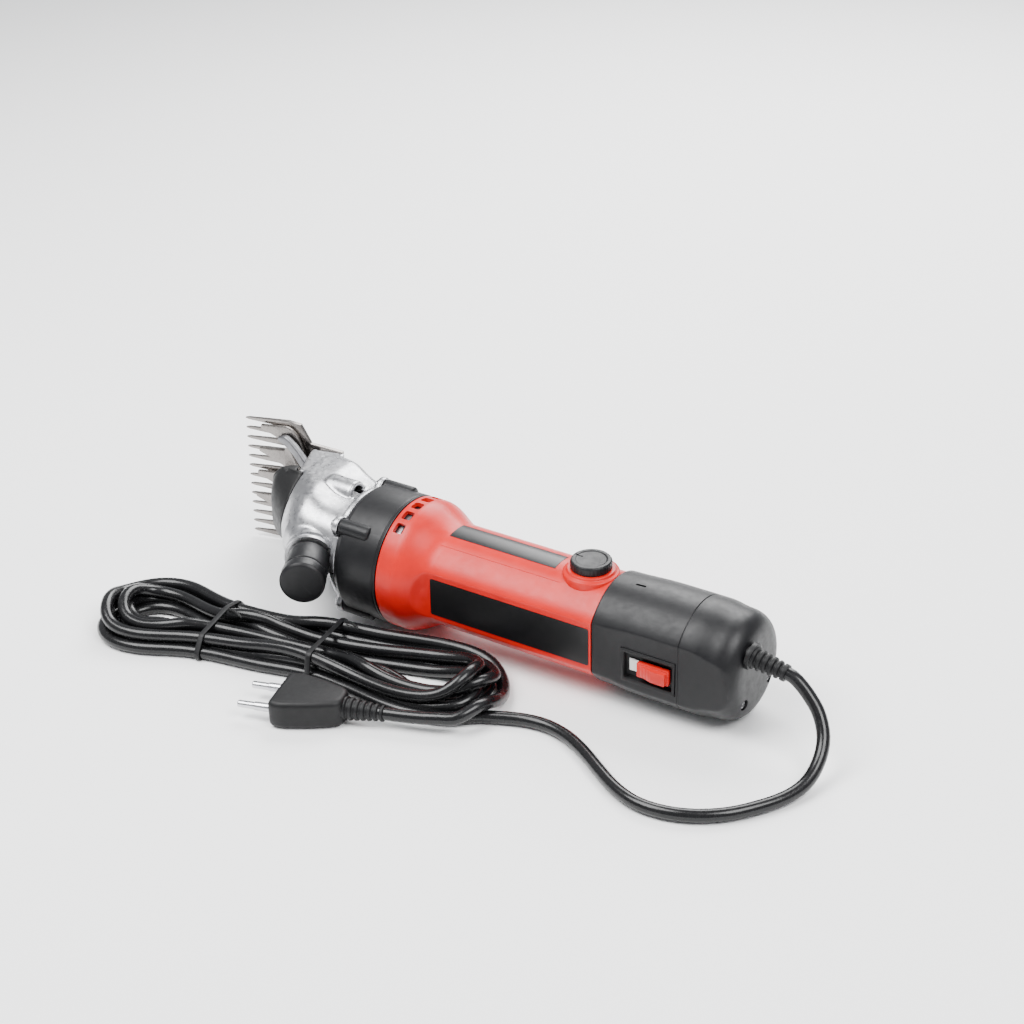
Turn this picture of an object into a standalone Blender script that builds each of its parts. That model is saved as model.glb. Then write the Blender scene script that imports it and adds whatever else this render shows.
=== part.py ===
"""Electric sheep shears: a comb and cutter head, a geared motor in a round handle, and a mains cord.

The tool is drawn along its own axis. X runs from the comb (-) to the tail (+), -Y is the tool's top
with the tension knob and the switch, and Z is its right side with the speed dial. The empty "tool"
carries all of it: it lays the tool on its left side, on its flange and its tail. The cord, its hank
and its plug are drawn on the floor, at z = 0.
"""

from math import cos, pi, radians, sin

import bmesh
import bpy
from mathutils import Matrix, Vector
from mathutils.geometry import interpolate_bezier

MM = 0.001
GAP = 0.3 * MM  # running and seating clearance between two pieces

# The handle and its housings
FLANGE_R = 36.8 * MM
HANDLE_R = 28.4 * MM
REAR_R = 30.0 * MM
WALL = 2.5 * MM
FLAT_Y = -26.2 * MM  # the flat along the top, which carries the label and the switch
RING_FRONT = -29.0 * MM
HANDLE_END = 130.0 * MM
TAIL_END = 213.0 * MM

# The head
HEAD_WALL = 3.0 * MM
FLANGE_PLATE = 4.0 * MM
EAR_RADIUS = 34.0 * MM
EAR_ANGLES = (45, 120, -45, -120)  # degrees from the tool's top, towards its right

# The comb and the cutter
COMB_TIP = (-142.0 * MM, 35.5 * MM)  # x and y of the tooth tips
COMB_TILT = radians(11)
TOOTH_PITCH = 6.2 * MM
COMB_TEETH = 13
COMB_LENGTH = 62.0 * MM
COMB_THICKNESS = 2.6 * MM
CUTTER_TEETH = 4
CUTTER_PITCH = 15.5 * MM
CUTTER_THICKNESS = 3.0 * MM

# The drive
MODULE = 1.0 * MM
PINION_TEETH = 8
CRANK_TEETH = 24
GEAR_CENTRES = 0.5 * MODULE * (PINION_TEETH + CRANK_TEETH)
PIVOT_STATION = 88.0 * MM  # of the fork's pivot, along the comb's plane from the tooth tips
CRANK_STATION = 104.7 * MM
SWING = radians(8)  # of the fork, each way
CRANK_THROW = (CRANK_STATION - PIVOT_STATION) * sin(SWING)

# The tension knob, whose axis leans back towards the tail
KNOB_END = Vector((-37.0, -52.6, 0)) * MM
KNOB_LEAN = radians(28.7)
KNOB_LENGTH = 25.5 * MM
PIN_LENGTH = 74.5 * MM
KNOB_R = 12.6 * MM

# The speed dial and the switch
DIAL_X = 114.5 * MM
DIAL_R = 11.3 * MM
DIAL_TOP = 35.8 * MM
SWITCH_X = (148.0 * MM, 180.0 * MM)
SWITCH_Z = (-13.0 * MM, 7.0 * MM)
SWITCH_TRAVEL = 4.5 * MM

# The cord, in floor coordinates
CORD_R = 3.5 * MM
CORD_EXIT = (-10.0 * MM, 14.5 * MM)  # y and z of the hole in the tail
RELIEF_END = Vector((234.5, -10.5, 11.0)) * MM
HANK_CENTRE = Vector((-67.7, -60.4, 0)) * MM
HANK_TURN = radians(7)
HANK_HALF_LENGTH = 127.0 * MM
HANK_FLOOR = 2.3 * MM
HANK_TOP = 22.0 * MM
HANK_WAIST = 20.5 * MM  # half its width between the ties
LEFT_FAN = 14.5 * MM  # how much wider it spreads at its left end
NEAR_FAN = 13.0 * MM  # and at its right end, on the side away from the tool
FAR_FAN = 5.5 * MM  # and on the tool's side
TIE_STATIONS = (-50.0 * MM, 18.0 * MM)
PLUG_PLACE = Vector((-8.3, -100.5, 0)) * MM
PLUG_TURN = radians(15)
PLUG_AXIS = 8.3 * MM  # height of its pins and lead above the floor

# How the tool lies
LEAN = radians(1.8)  # tail down, so that the flange and the tail both touch the floor
TOOL_X = -35.2 * MM
TOOL_Y = 4.1 * MM
TOOL_Z = FLANGE_R * cos(LEAN) + 9.0 * MM * sin(LEAN)


def clear_scene():
    for obj in list(bpy.data.objects):
        bpy.data.objects.remove(obj, do_unlink=True)


def new_collection(name):
    collection = bpy.data.collections.new(name)
    bpy.context.scene.collection.children.link(collection)
    return collection


def new_empty(name, parent, location=(0, 0, 0), rotation=(0, 0, 0)):
    empty = bpy.data.objects.new(name, None)
    empty.location = location
    empty.rotation_euler = rotation
    empty.parent = parent
    PARTS.objects.link(empty)
    return empty


clear_scene()
PARTS = new_collection("sheep_shears")
CUTTERS = new_collection("cutters")
CUTTERS.hide_render = True
TOOL = new_empty("tool", None, (TOOL_X, TOOL_Y, TOOL_Z), (0, LEAN, 0))


# ---------------------------------------------------------------- helpers


def material(name, color, roughness, metallic=0.0):
    made = bpy.data.materials.get(name) or bpy.data.materials.new(name)
    made.use_nodes = True
    shader = made.node_tree.nodes["Principled BSDF"]
    shader.inputs["Base Color"].default_value = (*color, 1)
    shader.inputs["Roughness"].default_value = roughness
    shader.inputs["Metallic"].default_value = metallic
    return made


def placed(name, mesh, parent=TOOL, matrix=Matrix.Identity(4)):
    """An object of this mesh, in the tool's frame unless another parent is named."""
    obj = bpy.data.objects.new(name, mesh)
    obj.parent = parent
    obj.matrix_local = matrix
    PARTS.objects.link(obj)
    return obj


def finish(obj, color, roughness, metallic=0.0, smooth=True):
    """Gives the piece its own material and shades its round faces smooth."""
    obj.data.materials.append(material(obj.name, color, roughness, metallic))
    if smooth and obj.type == "MESH":
        obj.data.shade_smooth()
        obj.data.set_sharp_from_angle(angle=radians(35))
    return obj


def mesh_from(name, build):
    mesh = bpy.data.meshes.new(name)
    shape = bmesh.new()
    build(shape)
    bmesh.ops.recalc_face_normals(shape, faces=shape.faces)
    if shape.calc_volume(signed=True) < 0:
        bmesh.ops.reverse_faces(shape, faces=shape.faces)
    shape.to_mesh(mesh)
    shape.free()
    return mesh


def along(direction, origin=(0, 0, 0)):
    """The placement whose Z runs along this direction."""
    turn = Vector(direction).to_track_quat("Z", "Y").to_matrix().to_4x4()
    return Matrix.Translation(origin) @ turn


def block(name, low, high, parent=TOOL, place=Matrix.Identity(4)):
    low, high = Vector(low), Vector(high)
    size = high - low

    def build(shape):
        bmesh.ops.create_cube(shape, size=1)
        bmesh.ops.scale(shape, vec=size, verts=shape.verts)
        bmesh.ops.translate(shape, vec=(low + high) / 2, verts=shape.verts)

    return placed(name, mesh_from(name, build), parent, place)


def rod(name, start, end, radius, steps=24, end_radius=None, parent=TOOL, place=Matrix.Identity(4)):
    start, end = Vector(start), Vector(end)
    length = (end - start).length

    def build(shape):
        bmesh.ops.create_cone(
            shape,
            cap_ends=True,
            segments=steps,
            radius1=radius,
            radius2=radius if end_radius is None else end_radius,
            depth=length,
        )
        bmesh.ops.translate(shape, vec=(0, 0, length / 2), verts=shape.verts)

    return placed(name, mesh_from(name, build), parent, place @ along(end - start, start))


def turned(name, profile, steps=32, origin=(0, 0, 0), direction=(1, 0, 0), parent=TOOL, closed=False):
    """A turned piece. The profile lists (station, radius) from the far end down the outer side."""
    mesh = bpy.data.meshes.new(name)
    points = [(radius, 0, station) for station, radius in profile]
    edges = [(i, i + 1) for i in range(len(points) - 1)]
    if closed:
        edges.append((len(points) - 1, 0))
    mesh.from_pydata(points, edges, [])
    obj = placed(name, mesh, parent, along(direction, origin))
    screw = obj.modifiers.new("turn", "SCREW")
    screw.steps = screw.render_steps = steps
    screw.use_merge_vertices = True
    screw.merge_threshold = 0.00001
    screw.use_smooth_shade = True
    return obj


def tube(name, low, high, outer, inner, steps=32, centre=(0, 0), parent=TOOL):
    """A plain ring along the tool's axis, between two stations."""
    profile = [(high, inner), (high, outer), (low, outer), (low, inner)]
    return turned(name, profile, steps, (0, *centre), parent=parent, closed=True)


def extruded(name, outline, low, high, parent=TOOL, matrix=Matrix.Identity(4)):
    """A flat outline of (x, y) points, filled and raised from low to high along its own Z."""
    curve = bpy.data.curves.new(name, "CURVE")
    curve.dimensions = "2D"
    curve.fill_mode = "BOTH"
    curve.extrude = (high - low) / 2
    spline = curve.splines.new("POLY")
    spline.points.add(len(outline) - 1)
    for point, (x, y) in zip(spline.points, outline):
        point.co = (x, y, 0, 1)
    spline.use_cyclic_u = True
    source = bpy.data.objects.new(name + "_outline", curve)
    PARTS.objects.link(source)
    graph = bpy.context.evaluated_depsgraph_get()
    mesh = bpy.data.meshes.new_from_object(source.evaluated_get(graph))
    bpy.data.objects.remove(source)
    mesh.name = name
    shape = bmesh.new()
    shape.from_mesh(mesh)
    bmesh.ops.remove_doubles(shape, verts=shape.verts, dist=0.000001)
    bmesh.ops.translate(shape, vec=(0, 0, (low + high) / 2), verts=shape.verts)
    bmesh.ops.recalc_face_normals(shape, faces=shape.faces)
    shape.to_mesh(mesh)
    shape.free()
    return placed(name, mesh, parent, matrix)


def lofted(name, sections, parent=TOOL, matrix=Matrix.Identity(4)):
    """A closed solid through unlike sections, each a ring of as many points."""

    def build(shape):
        rings = [[shape.verts.new(point) for point in section] for section in sections]
        count = len(sections[0])
        for ring, following in zip(rings, rings[1:]):
            for i in range(count):
                j = (i + 1) % count
                shape.faces.new((ring[i], ring[j], following[j], following[i]))
        shape.faces.new(rings[0])
        shape.faces.new(rings[-1])

    return placed(name, mesh_from(name, build), parent, matrix)


def helper(obj):
    """Takes a cutter or a joined shape out of the render and out of the parts."""
    PARTS.objects.unlink(obj)
    CUTTERS.objects.link(obj)
    obj.hide_render = True
    obj.display_type = "WIRE"
    return obj


def cut(obj, *tools):
    for tool in tools:
        modifier = obj.modifiers.new("cut " + tool.name, "BOOLEAN")
        modifier.operation = "DIFFERENCE"
        modifier.object = helper(tool)


def join(obj, *others):
    for other in others:
        modifier = obj.modifiers.new("join " + other.name, "BOOLEAN")
        modifier.operation = "UNION"
        modifier.object = helper(other)


def ease(start, end, count):
    """Stations and radii along an S curve between two (station, radius) pairs, ends left out."""
    middle = (start[0] + end[0]) / 2
    handles = [Vector((*p, 0)) for p in (start, (middle, start[1]), (middle, end[1]), end)]
    return [(p.x, p.y) for p in interpolate_bezier(*handles, count + 2)[1:-1]]


# ---------------------------------------------------------------- handle and housings

RED = (0.62, 0.035, 0.022)
BLACK = (0.022, 0.022, 0.024)
STEEL = (0.42, 0.42, 0.43)
ALUMINIUM = (0.62, 0.62, 0.63)
COPPER = (0.7, 0.33, 0.16)


def flat_cutter(name, depth, low, high):
    """Removes everything past the flat along the tool's top."""
    return block(name, (low, -60 * MM, -60 * MM), (high, depth, 60 * MM))


def polar(radius, angle):
    """(y, z) at this angle in degrees from the tool's top, towards its right."""
    return -radius * cos(radians(angle)), radius * sin(radians(angle))


def vent(index, side):
    """One of the air vents round the flange."""
    angle = radians(58 + 14.5 * index) * side
    slot = block(f"vent_{index}_{side}", (2.9 * MM, -45 * MM, -3 * MM), (8.7 * MM, -30 * MM, 3 * MM))
    slot.matrix_local = Matrix.Rotation(-angle, 4, "X")
    return slot


def make_handle():
    flare = ease((31 * MM, HANDLE_R), (9 * MM, FLANGE_R), 5)
    outer = [(HANDLE_END - GAP / 2, 0), (HANDLE_END - GAP / 2, HANDLE_R), (31 * MM, HANDLE_R)]
    outer += flare + [(9 * MM, FLANGE_R), (GAP / 2, FLANGE_R), (GAP / 2, 0)]
    shell = turned("handle_shell", outer, 48)
    inner_flare = ease((30 * MM, HANDLE_R - WALL), (11 * MM, FLANGE_R - WALL), 3)
    inner = [(HANDLE_END + 5 * MM, 0), (HANDLE_END + 5 * MM, HANDLE_R - WALL), (30 * MM, HANDLE_R - WALL)]
    inner += inner_flare + [(11 * MM, FLANGE_R - WALL), (-5 * MM, FLANGE_R - WALL), (-5 * MM, 0)]
    core = turned("handle_core", inner, 48)
    cut(core, flat_cutter("core_flat", FLAT_Y + WALL, 30 * MM, 150 * MM))
    dial_boss = rod("dial_boss", (DIAL_X, 0, 24 * MM), (DIAL_X, 0, 30.6 * MM), 13 * MM, 32)
    join(shell, dial_boss)
    cut(shell, flat_cutter("handle_flat", FLAT_Y, 27 * MM, 140 * MM), core)
    cut(shell, rod("dial_hole", (DIAL_X, 0, 20 * MM), (DIAL_X, 0, 34 * MM), 3.6 * MM, 16))
    cut(shell, *[vent(i, side) for side in (1, -1) for i in range(6)])
    finish(shell, RED, 0.38)


def rear_radius(x):
    """The rear cover swells a little between its joint with the handle and its tail."""
    t = (x - HANDLE_END) / (TAIL_END - HANDLE_END)
    return REAR_R + 1.2 * MM * sin(pi * min(t * 1.15, 1))


def make_rear_cover():
    stations = [HANDLE_END + GAP / 2 + i * 14.5 * MM for i in range(5)]
    side = [(x, rear_radius(x)) for x in reversed(stations)]
    arc = [
        (TAIL_END - 11 * MM + 11 * MM * cos(a), 19 * MM + 11 * MM * sin(a))
        for a in (radians(22.5 * i) for i in range(5))
    ]
    cover = turned("rear_cover", [(TAIL_END, 0)] + arc + side + [(stations[0], 0)], 48)
    inner_end = TAIL_END - WALL
    inner = [(inner_end, 0), (inner_end, 20 * MM), (inner_end - 9 * MM, REAR_R - WALL)]
    inner += [(HANDLE_END - 5 * MM, REAR_R - WALL), (HANDLE_END - 5 * MM, 0)]
    core = turned("rear_core", inner, 48)
    cut(core, flat_cutter("rear_core_flat", FLAT_Y + WALL, 120 * MM, 230 * MM))
    cut(cover, flat_cutter("rear_flat", FLAT_Y, 120 * MM, 230 * MM), core)
    x, z = SWITCH_X, SWITCH_Z
    cut(cover, block("switch_opening", (x[0], -40 * MM, z[0]), (x[1], -20 * MM, z[1])))
    cut(cover, rod("cord_hole", (200 * MM, *CORD_EXIT), (220 * MM, *CORD_EXIT), 4.6 * MM, 16))
    for i, (y, z) in enumerate(((-13, -14), (14, -12))):
        hole = rod(f"screw_hole_{i}", (205 * MM, y * MM, z * MM), (220 * MM, y * MM, z * MM), 3 * MM, 12)
        cut(cover, hole)
        screw_from, screw_to = (206 * MM, y * MM, z * MM), (TAIL_END - 0.6 * MM, y * MM, z * MM)
        finish(rod(f"cover_screw_{i + 1}", screw_from, screw_to, 2.6 * MM, 12), STEEL, 0.3, 1)
    finish(cover, BLACK, 0.45)


def post(index, angle):
    """A screw post on the gearbox ring, in line with an ear of the head's flange."""
    y, z = polar(EAR_RADIUS, angle)
    start = (RING_FRONT, y, z)
    end = (RING_FRONT + 19 * MM, y, z)
    return rod(f"post_{index}", start, end, 5 * MM, 16)


def make_gearbox_ring():
    front, rear = RING_FRONT, -GAP / 2
    outer = [(rear, 34.0 * MM), (rear, FLANGE_R), (front + 3 * MM, 36.2 * MM), (front, 34.2 * MM)]
    outer += [(front, 30.5 * MM), (front + 5 * MM, 30.5 * MM), (front + 9 * MM, 33.6 * MM)]
    ring = turned("gearbox_ring", outer, 48, closed=True)
    for i, angle in enumerate(EAR_ANGLES):
        join(ring, post(i, angle))
        y, z = polar(EAR_RADIUS, angle)
        hole_end = RING_FRONT + 14 * MM
        cut(ring, rod(f"post_hole_{i}", (front - 2 * MM, y, z), (hole_end, y, z), 2.3 * MM, 12))
    finish(ring, BLACK, 0.4)


def make_flange_screws():
    head_face = RING_FRONT - GAP - FLANGE_PLATE - GAP
    for i, angle in enumerate(EAR_ANGLES):
        y, z = polar(EAR_RADIUS, angle)
        screw = rod(f"flange_screw_{i + 1}", (head_face - 2.5 * MM, y, z), (head_face, y, z), 3.4 * MM, 16)
        join(screw, rod(f"shank_{i}", (head_face - 1 * MM, y, z), (RING_FRONT + 12 * MM, y, z), 1.9 * MM, 12))
        finish(screw, STEEL, 0.3, 1)


# ---------------------------------------------------------------- head


def rounded_section(x, y_low, y_high, half_width, corner):
    """A rounded rectangle across the tool's axis."""
    points = []
    per_corner = 5
    centres = ((1, 1, 0), (-1, 1, 90), (-1, -1, 180), (1, -1, 270))
    middle, half_height = (y_low + y_high) / 2, (y_high - y_low) / 2
    for sy, sz, start in centres:
        for i in range(per_corner):
            angle = radians(start + 90 * i / (per_corner - 1))
            y = middle + sy * (half_height - corner) + corner * cos(angle)
            z = sz * (half_width - corner) + corner * sin(angle)
            points.append((x, y, z))
    return points


def comb_point(station, height, across=0.0):
    """A point by its station along the comb from the tooth tips, its height above it, and across."""
    x = COMB_TIP[0] + station * cos(COMB_TILT) + height * sin(COMB_TILT)
    y = COMB_TIP[1] + station * sin(COMB_TILT) - height * cos(COMB_TILT)
    return Vector((x, y, across))


def comb_placement():
    """The placement whose X is the comb's station, Y is across it and Z its height."""
    along_comb = comb_point(1, 0) - comb_point(0, 0)
    up = comb_point(0, 1) - comb_point(0, 0)
    across = up.cross(along_comb)
    rotation = Matrix((along_comb, across, up)).transposed().to_4x4()
    return Matrix.Translation(comb_point(0, 0)) @ rotation


COMB_FRAME = comb_placement()
TONGUE = [(x * MM, y * MM) for x, y in ((-76, 12.5), (-87, 12.5), (-95, 33), (-96, 38), (-78, 38))]
KNOB_AXIS = Vector((sin(KNOB_LEAN), -cos(KNOB_LEAN), 0))


def knob_point(distance):
    """A point on the tension knob's axis, at this distance in from its end face."""
    return KNOB_END - KNOB_AXIS * distance


def head_sections(wall):
    """The casting's outer sections, or those of its hollow when a wall is given."""
    sizes = (
        (-33.2, -22, 28, 27, 18),
        (-45, -21.5, 35, 26.5, 13),
        (-62, -21.5, 41.5, 27, 10),
        (-76, -19.5, 43.4, 27, 9),
        (-83, -16.5, 42, 27, 9),
    )
    sections = []
    for x, y_low, y_high, half_width, corner in sizes:
        low, high = y_low * MM + wall, y_high * MM - wall
        corner = max(corner * MM - wall, 3 * MM)
        sections.append(rounded_section(x * MM, low, high, half_width * MM - wall, corner))
    return sections


def shifted(section, offset):
    return [(x + offset, y, z) for x, y, z in section]


def make_head_casting():
    back = RING_FRONT - GAP - FLANGE_PLATE
    casting = lofted("head_casting", head_sections(0))
    flange = tube("flange_plate", back, RING_FRONT - GAP, 33.5 * MM, 14 * MM, 48)
    ears = []
    for i, angle in enumerate(EAR_ANGLES):
        y, z = polar(EAR_RADIUS, angle)
        ears.append(rod(f"ear_{i}", (back, y, z), (RING_FRONT - GAP, y, z), 5.6 * MM, 20))
    boss = rod("knob_boss", knob_point(44 * MM), knob_point(KNOB_LENGTH + 1.5 * MM), 14 * MM, 32)
    bed_low, bed_high = (47.5 * MM, -25 * MM, COMB_THICKNESS + GAP), (64 * MM, 25 * MM, 8 * MM)
    bed = block("comb_bed", bed_low, bed_high, TOOL, COMB_FRAME)
    tongue = extruded("tongue", TONGUE, 24.2 * MM, 26.8 * MM)
    pocket = rod("screw_pocket", (-66 * MM, 14 * MM, 21 * MM), (-47 * MM, 14 * MM, 21 * MM), 8 * MM, 20)
    join(casting, flange, *ears, boss, bed, tongue, pocket)
    hollow = head_sections(HEAD_WALL)
    inner = lofted("head_hollow", [shifted(hollow[0], 12 * MM)] + hollow + [shifted(hollow[-1], -12 * MM)])
    cut(casting, inner)
    cut(casting, rod("pin_bore", knob_point(60 * MM), knob_point(20 * MM), 4.3 * MM, 16))
    cut(casting, rod("pocket_hole", (-55 * MM, 14 * MM, 22 * MM), (-44 * MM, 14 * MM, 22 * MM), 4 * MM, 16))
    for i, angle in enumerate(EAR_ANGLES):
        y, z = polar(EAR_RADIUS, angle)
        cut(casting, rod(f"ear_hole_{i}", (back - 9 * MM, y, z), (-20 * MM, y, z), 2.3 * MM, 12))
        cut(casting, rod(f"ear_seat_{i}", (back - 12 * MM, y, z), (back - 0.01 * MM, y, z), 4.4 * MM, 16))
    foot, top = comb_point(PIVOT_STATION, 0), comb_point(PIVOT_STATION, 22 * MM)
    cut(casting, rod("post_bore", foot, top, 4.2 * MM, 16))
    for side in (-1, 1):
        across = side * 14 * MM
        low, high = comb_point(54 * MM, -4 * MM, across), comb_point(54 * MM, 12 * MM, across)
        cut(casting, rod(f"comb_thread_{side}", low, high, 2.3 * MM, 12))
    finish(casting, ALUMINIUM, 0.32, 1)


def make_nose_guard():
    """The black hood over the front of the head, open behind and below for the fork."""
    sizes = ((-83.4, -16, 24, 26.5, 9), (-92, -11, 24, 26, 9))
    sizes += ((-100, -3, 23, 24, 8), (-106.5, 9, 20.5, 19, 5))
    hollow_sizes = ((-80, -13, 46, 24, 7), (-92, -8, 46, 23.5, 7), (-101.5, 3, 46, 20.5, 7))
    outer, hollow = (
        [rounded_section(*(size * MM for size in row)) for row in rows] for rows in (sizes, hollow_sizes)
    )
    guard = lofted("nose_guard", outer)
    cut(guard, lofted("guard_hollow", hollow))
    cut(guard, block("tongue_notch", (-120 * MM, 12 * MM, 23.9 * MM), (-60 * MM, 60 * MM, 40 * MM)))
    finish(guard, BLACK, 0.5)


def comb_outline():
    half_rear, slot_at, slot_half = 25 * MM, 14 * MM, 2.7 * MM
    rear, slot_end = COMB_LENGTH, 51 * MM
    points = [(rear, -half_rear), (rear, -slot_at - slot_half), (slot_end, -slot_at - slot_half)]
    points += [(slot_end, -slot_at + slot_half), (rear, -slot_at + slot_half)]
    points += [(rear, slot_at - slot_half), (slot_end, slot_at - slot_half)]
    points += [(slot_end, slot_at + slot_half), (rear, slot_at + slot_half), (rear, half_rear)]
    points += [(42 * MM, 27 * MM)]
    for i in range(COMB_TEETH):
        across = ((COMB_TEETH - 1) / 2 - i) * TOOTH_PITCH
        root, tip = 2.0 * MM, 0.8 * MM
        points += [(27 * MM, across + root), (2 * MM, across + tip), (0, across)]
        points += [(2 * MM, across - tip), (27 * MM, across - root)]
    points += [(42 * MM, -27 * MM)]
    return points


def make_comb():
    comb = extruded("comb", comb_outline(), 0, COMB_THICKNESS, matrix=COMB_FRAME)
    finish(comb, STEEL, 0.3, 1)
    for i, side in enumerate((-1, 1)):
        across = side * 14 * MM
        seat, face = comb_point(54 * MM, -GAP, across), comb_point(54 * MM, -3.2 * MM, across)
        head = rod(f"comb_screw_{i + 1}", face, seat, 4.6 * MM, 16)
        inside, end = comb_point(54 * MM, -1 * MM, across), comb_point(54 * MM, 10 * MM, across)
        join(head, rod(f"comb_shank_{i}", inside, end, 1.9 * MM, 12))
        finish(head, STEEL, 0.3, 1)


# ---------------------------------------------------------------- fork, cutter and tension

FORK = None


def fork_frame():
    """The empty on the fork's pivot. The fork is drawn straight and turned to its rest here."""
    pivot = comb_point(PIVOT_STATION, 0)
    empty = new_empty("fork", TOOL)
    at_pivot = Matrix.Translation(pivot - comb_point(0, 0)) @ COMB_FRAME
    empty.matrix_local = at_pivot @ Matrix.Rotation(-SWING, 4, "Z")
    return empty


def fork_x(station):
    return station - PIVOT_STATION


def cutter_outline():
    points = [(fork_x(40 * MM), -9 * MM), (fork_x(40 * MM), 9 * MM), (fork_x(31 * MM), 25 * MM)]
    points.append((fork_x(27 * MM), 28 * MM))
    for i in range(CUTTER_TEETH):
        across = ((CUTTER_TEETH - 1) / 2 - i) * CUTTER_PITCH
        root, tip = 5.2 * MM, 1.6 * MM
        points += [(fork_x(23 * MM), across + root), (fork_x(7 * MM), across + tip)]
        points += [(fork_x(7 * MM), across - tip), (fork_x(23 * MM), across - root)]
    points += [(fork_x(27 * MM), -28 * MM), (fork_x(31 * MM), -25 * MM)]
    return points


def bar_section(station, low, high, half_width, across=0.0):
    """A rectangle across the fork, between two heights above the comb."""
    x = fork_x(station)
    return [
        (x, across - half_width, low),
        (x, across + half_width, low),
        (x, across + half_width, high),
        (x, across - half_width, high),
    ]


def make_fork():
    sections = (
        (103.3, 36, 42.5, 7),
        (88, 32, 42, 9),
        (70, 27, 36, 9),
        (58, 20, 28, 11),
        (50, 15, 21, 12),
    )
    bars = [bar_section(s * MM, low * MM, high * MM, half * MM) for s, low, high, half in sections]
    body = lofted("fork_body", bars, FORK)
    slot_low, slot_high = (fork_x(97 * MM), -3.9 * MM, 20 * MM), (fork_x(110 * MM), 3.9 * MM, 50 * MM)
    slot = block("fork_slot", slot_low, slot_high, FORK)
    cup = rod("pivot_cup", (0, 0, 25 * MM), (0, 0, 36 * MM), 4.4 * MM, 16, parent=FORK)
    cut(body, slot, cup)
    finish(body, STEEL, 0.4, 1)
    for name, side in (("left", -1), ("right", 1)):
        arm = [
            bar_section(49.6 * MM, 14.5 * MM, 20 * MM, 4 * MM, side * 7 * MM),
            bar_section(42 * MM, 11 * MM, 16 * MM, 4 * MM, side * 12 * MM),
            bar_section(33 * MM, 8 * MM, 13 * MM, 3.5 * MM, side * 18.5 * MM),
            bar_section(26 * MM, 6.6 * MM, 11 * MM, 3.2 * MM, side * 21.8 * MM),
            bar_section(20.5 * MM, 6.3 * MM, 9 * MM, 2.2 * MM, side * 21 * MM),
        ]
        finish(lofted(f"fork_arm_{name}", arm, FORK), STEEL, 0.4, 1)
    low = COMB_THICKNESS + GAP
    cutter = extruded("cutter", cutter_outline(), low, low + CUTTER_THICKNESS, FORK)
    for side in (-1, 1):
        hole = rod(
            f"cutter_hole_{side}",
            (fork_x(22 * MM), side * 21.5 * MM, 0),
            (fork_x(22 * MM), side * 21.5 * MM, 10 * MM),
            1.3 * MM,
            12,
            parent=FORK,
        )
        cut(cutter, hole)
    finish(cutter, STEEL, 0.28, 1)


def make_pivot_post():
    foot, top = comb_point(PIVOT_STATION, 12 * MM), comb_point(PIVOT_STATION, 35.5 * MM)
    finish(rod("pivot_post", foot, top, 3.9 * MM, 16), STEEL, 0.35, 1)


def make_tension():
    pin_r = 3.9 * MM
    pin_profile = [(-4 * MM, 0), (-4 * MM, pin_r), (6 * MM - PIN_LENGTH, pin_r)]
    pin_profile += [(-PIN_LENGTH, 1.5 * MM), (-PIN_LENGTH, 0)]
    pin = turned("tension_pin", pin_profile, 16, KNOB_END, KNOB_AXIS, parent=TENSION)
    finish(pin, STEEL, 0.35, 1)
    groove = 1.0 * MM
    profile = [
        (0, 0),
        (0, KNOB_R - 1.2 * MM),
        (-1.2 * MM, KNOB_R),
        (-8.2 * MM, KNOB_R),
        (-8.2 * MM, KNOB_R - groove),
        (-9.4 * MM, KNOB_R - groove),
        (-9.4 * MM, KNOB_R - 0.4 * MM),
        (-KNOB_LENGTH, KNOB_R - 0.4 * MM),
        (-KNOB_LENGTH, 4.3 * MM),
        (-3.6 * MM, 4.3 * MM),
        (-3.6 * MM, 0),
    ]
    knob = turned("tension_knob", profile, 32, KNOB_END, KNOB_AXIS, parent=TENSION)
    finish(knob, BLACK, 0.42)


# ---------------------------------------------------------------- gears and motor


def gear_outline(teeth, turn=0.0):
    """A spur gear with straight-sided teeth, thinned to run with clearance."""
    pitch_r = MODULE * teeth / 2
    root_r, tip_r = pitch_r - 1.15 * MODULE, pitch_r + 0.75 * MODULE
    points = []
    for i in range(teeth):
        middle = turn + 2 * pi * i / teeth
        for radius, half in ((root_r, 0.60), (tip_r, 0.22), (tip_r, -0.22), (root_r, -0.60)):
            angle = middle - half * MODULE / radius
            points.append((radius * cos(angle), radius * sin(angle)))
    return points


def gear(name, teeth, low, high, parent, bore, turn=0.0):
    """A gear across its parent's own X axis, with a bore for its shaft."""
    placement = Matrix.Rotation(pi / 2, 4, "Y")
    wheel = extruded(name, gear_outline(teeth, turn), low, high, parent, placement)
    cut(wheel, rod(name + "_bore", (low - 5 * MM, 0, 0), (high + 5 * MM, 0, 0), bore, 16, parent=parent))
    finish(wheel, STEEL, 0.35, 1)


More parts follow.
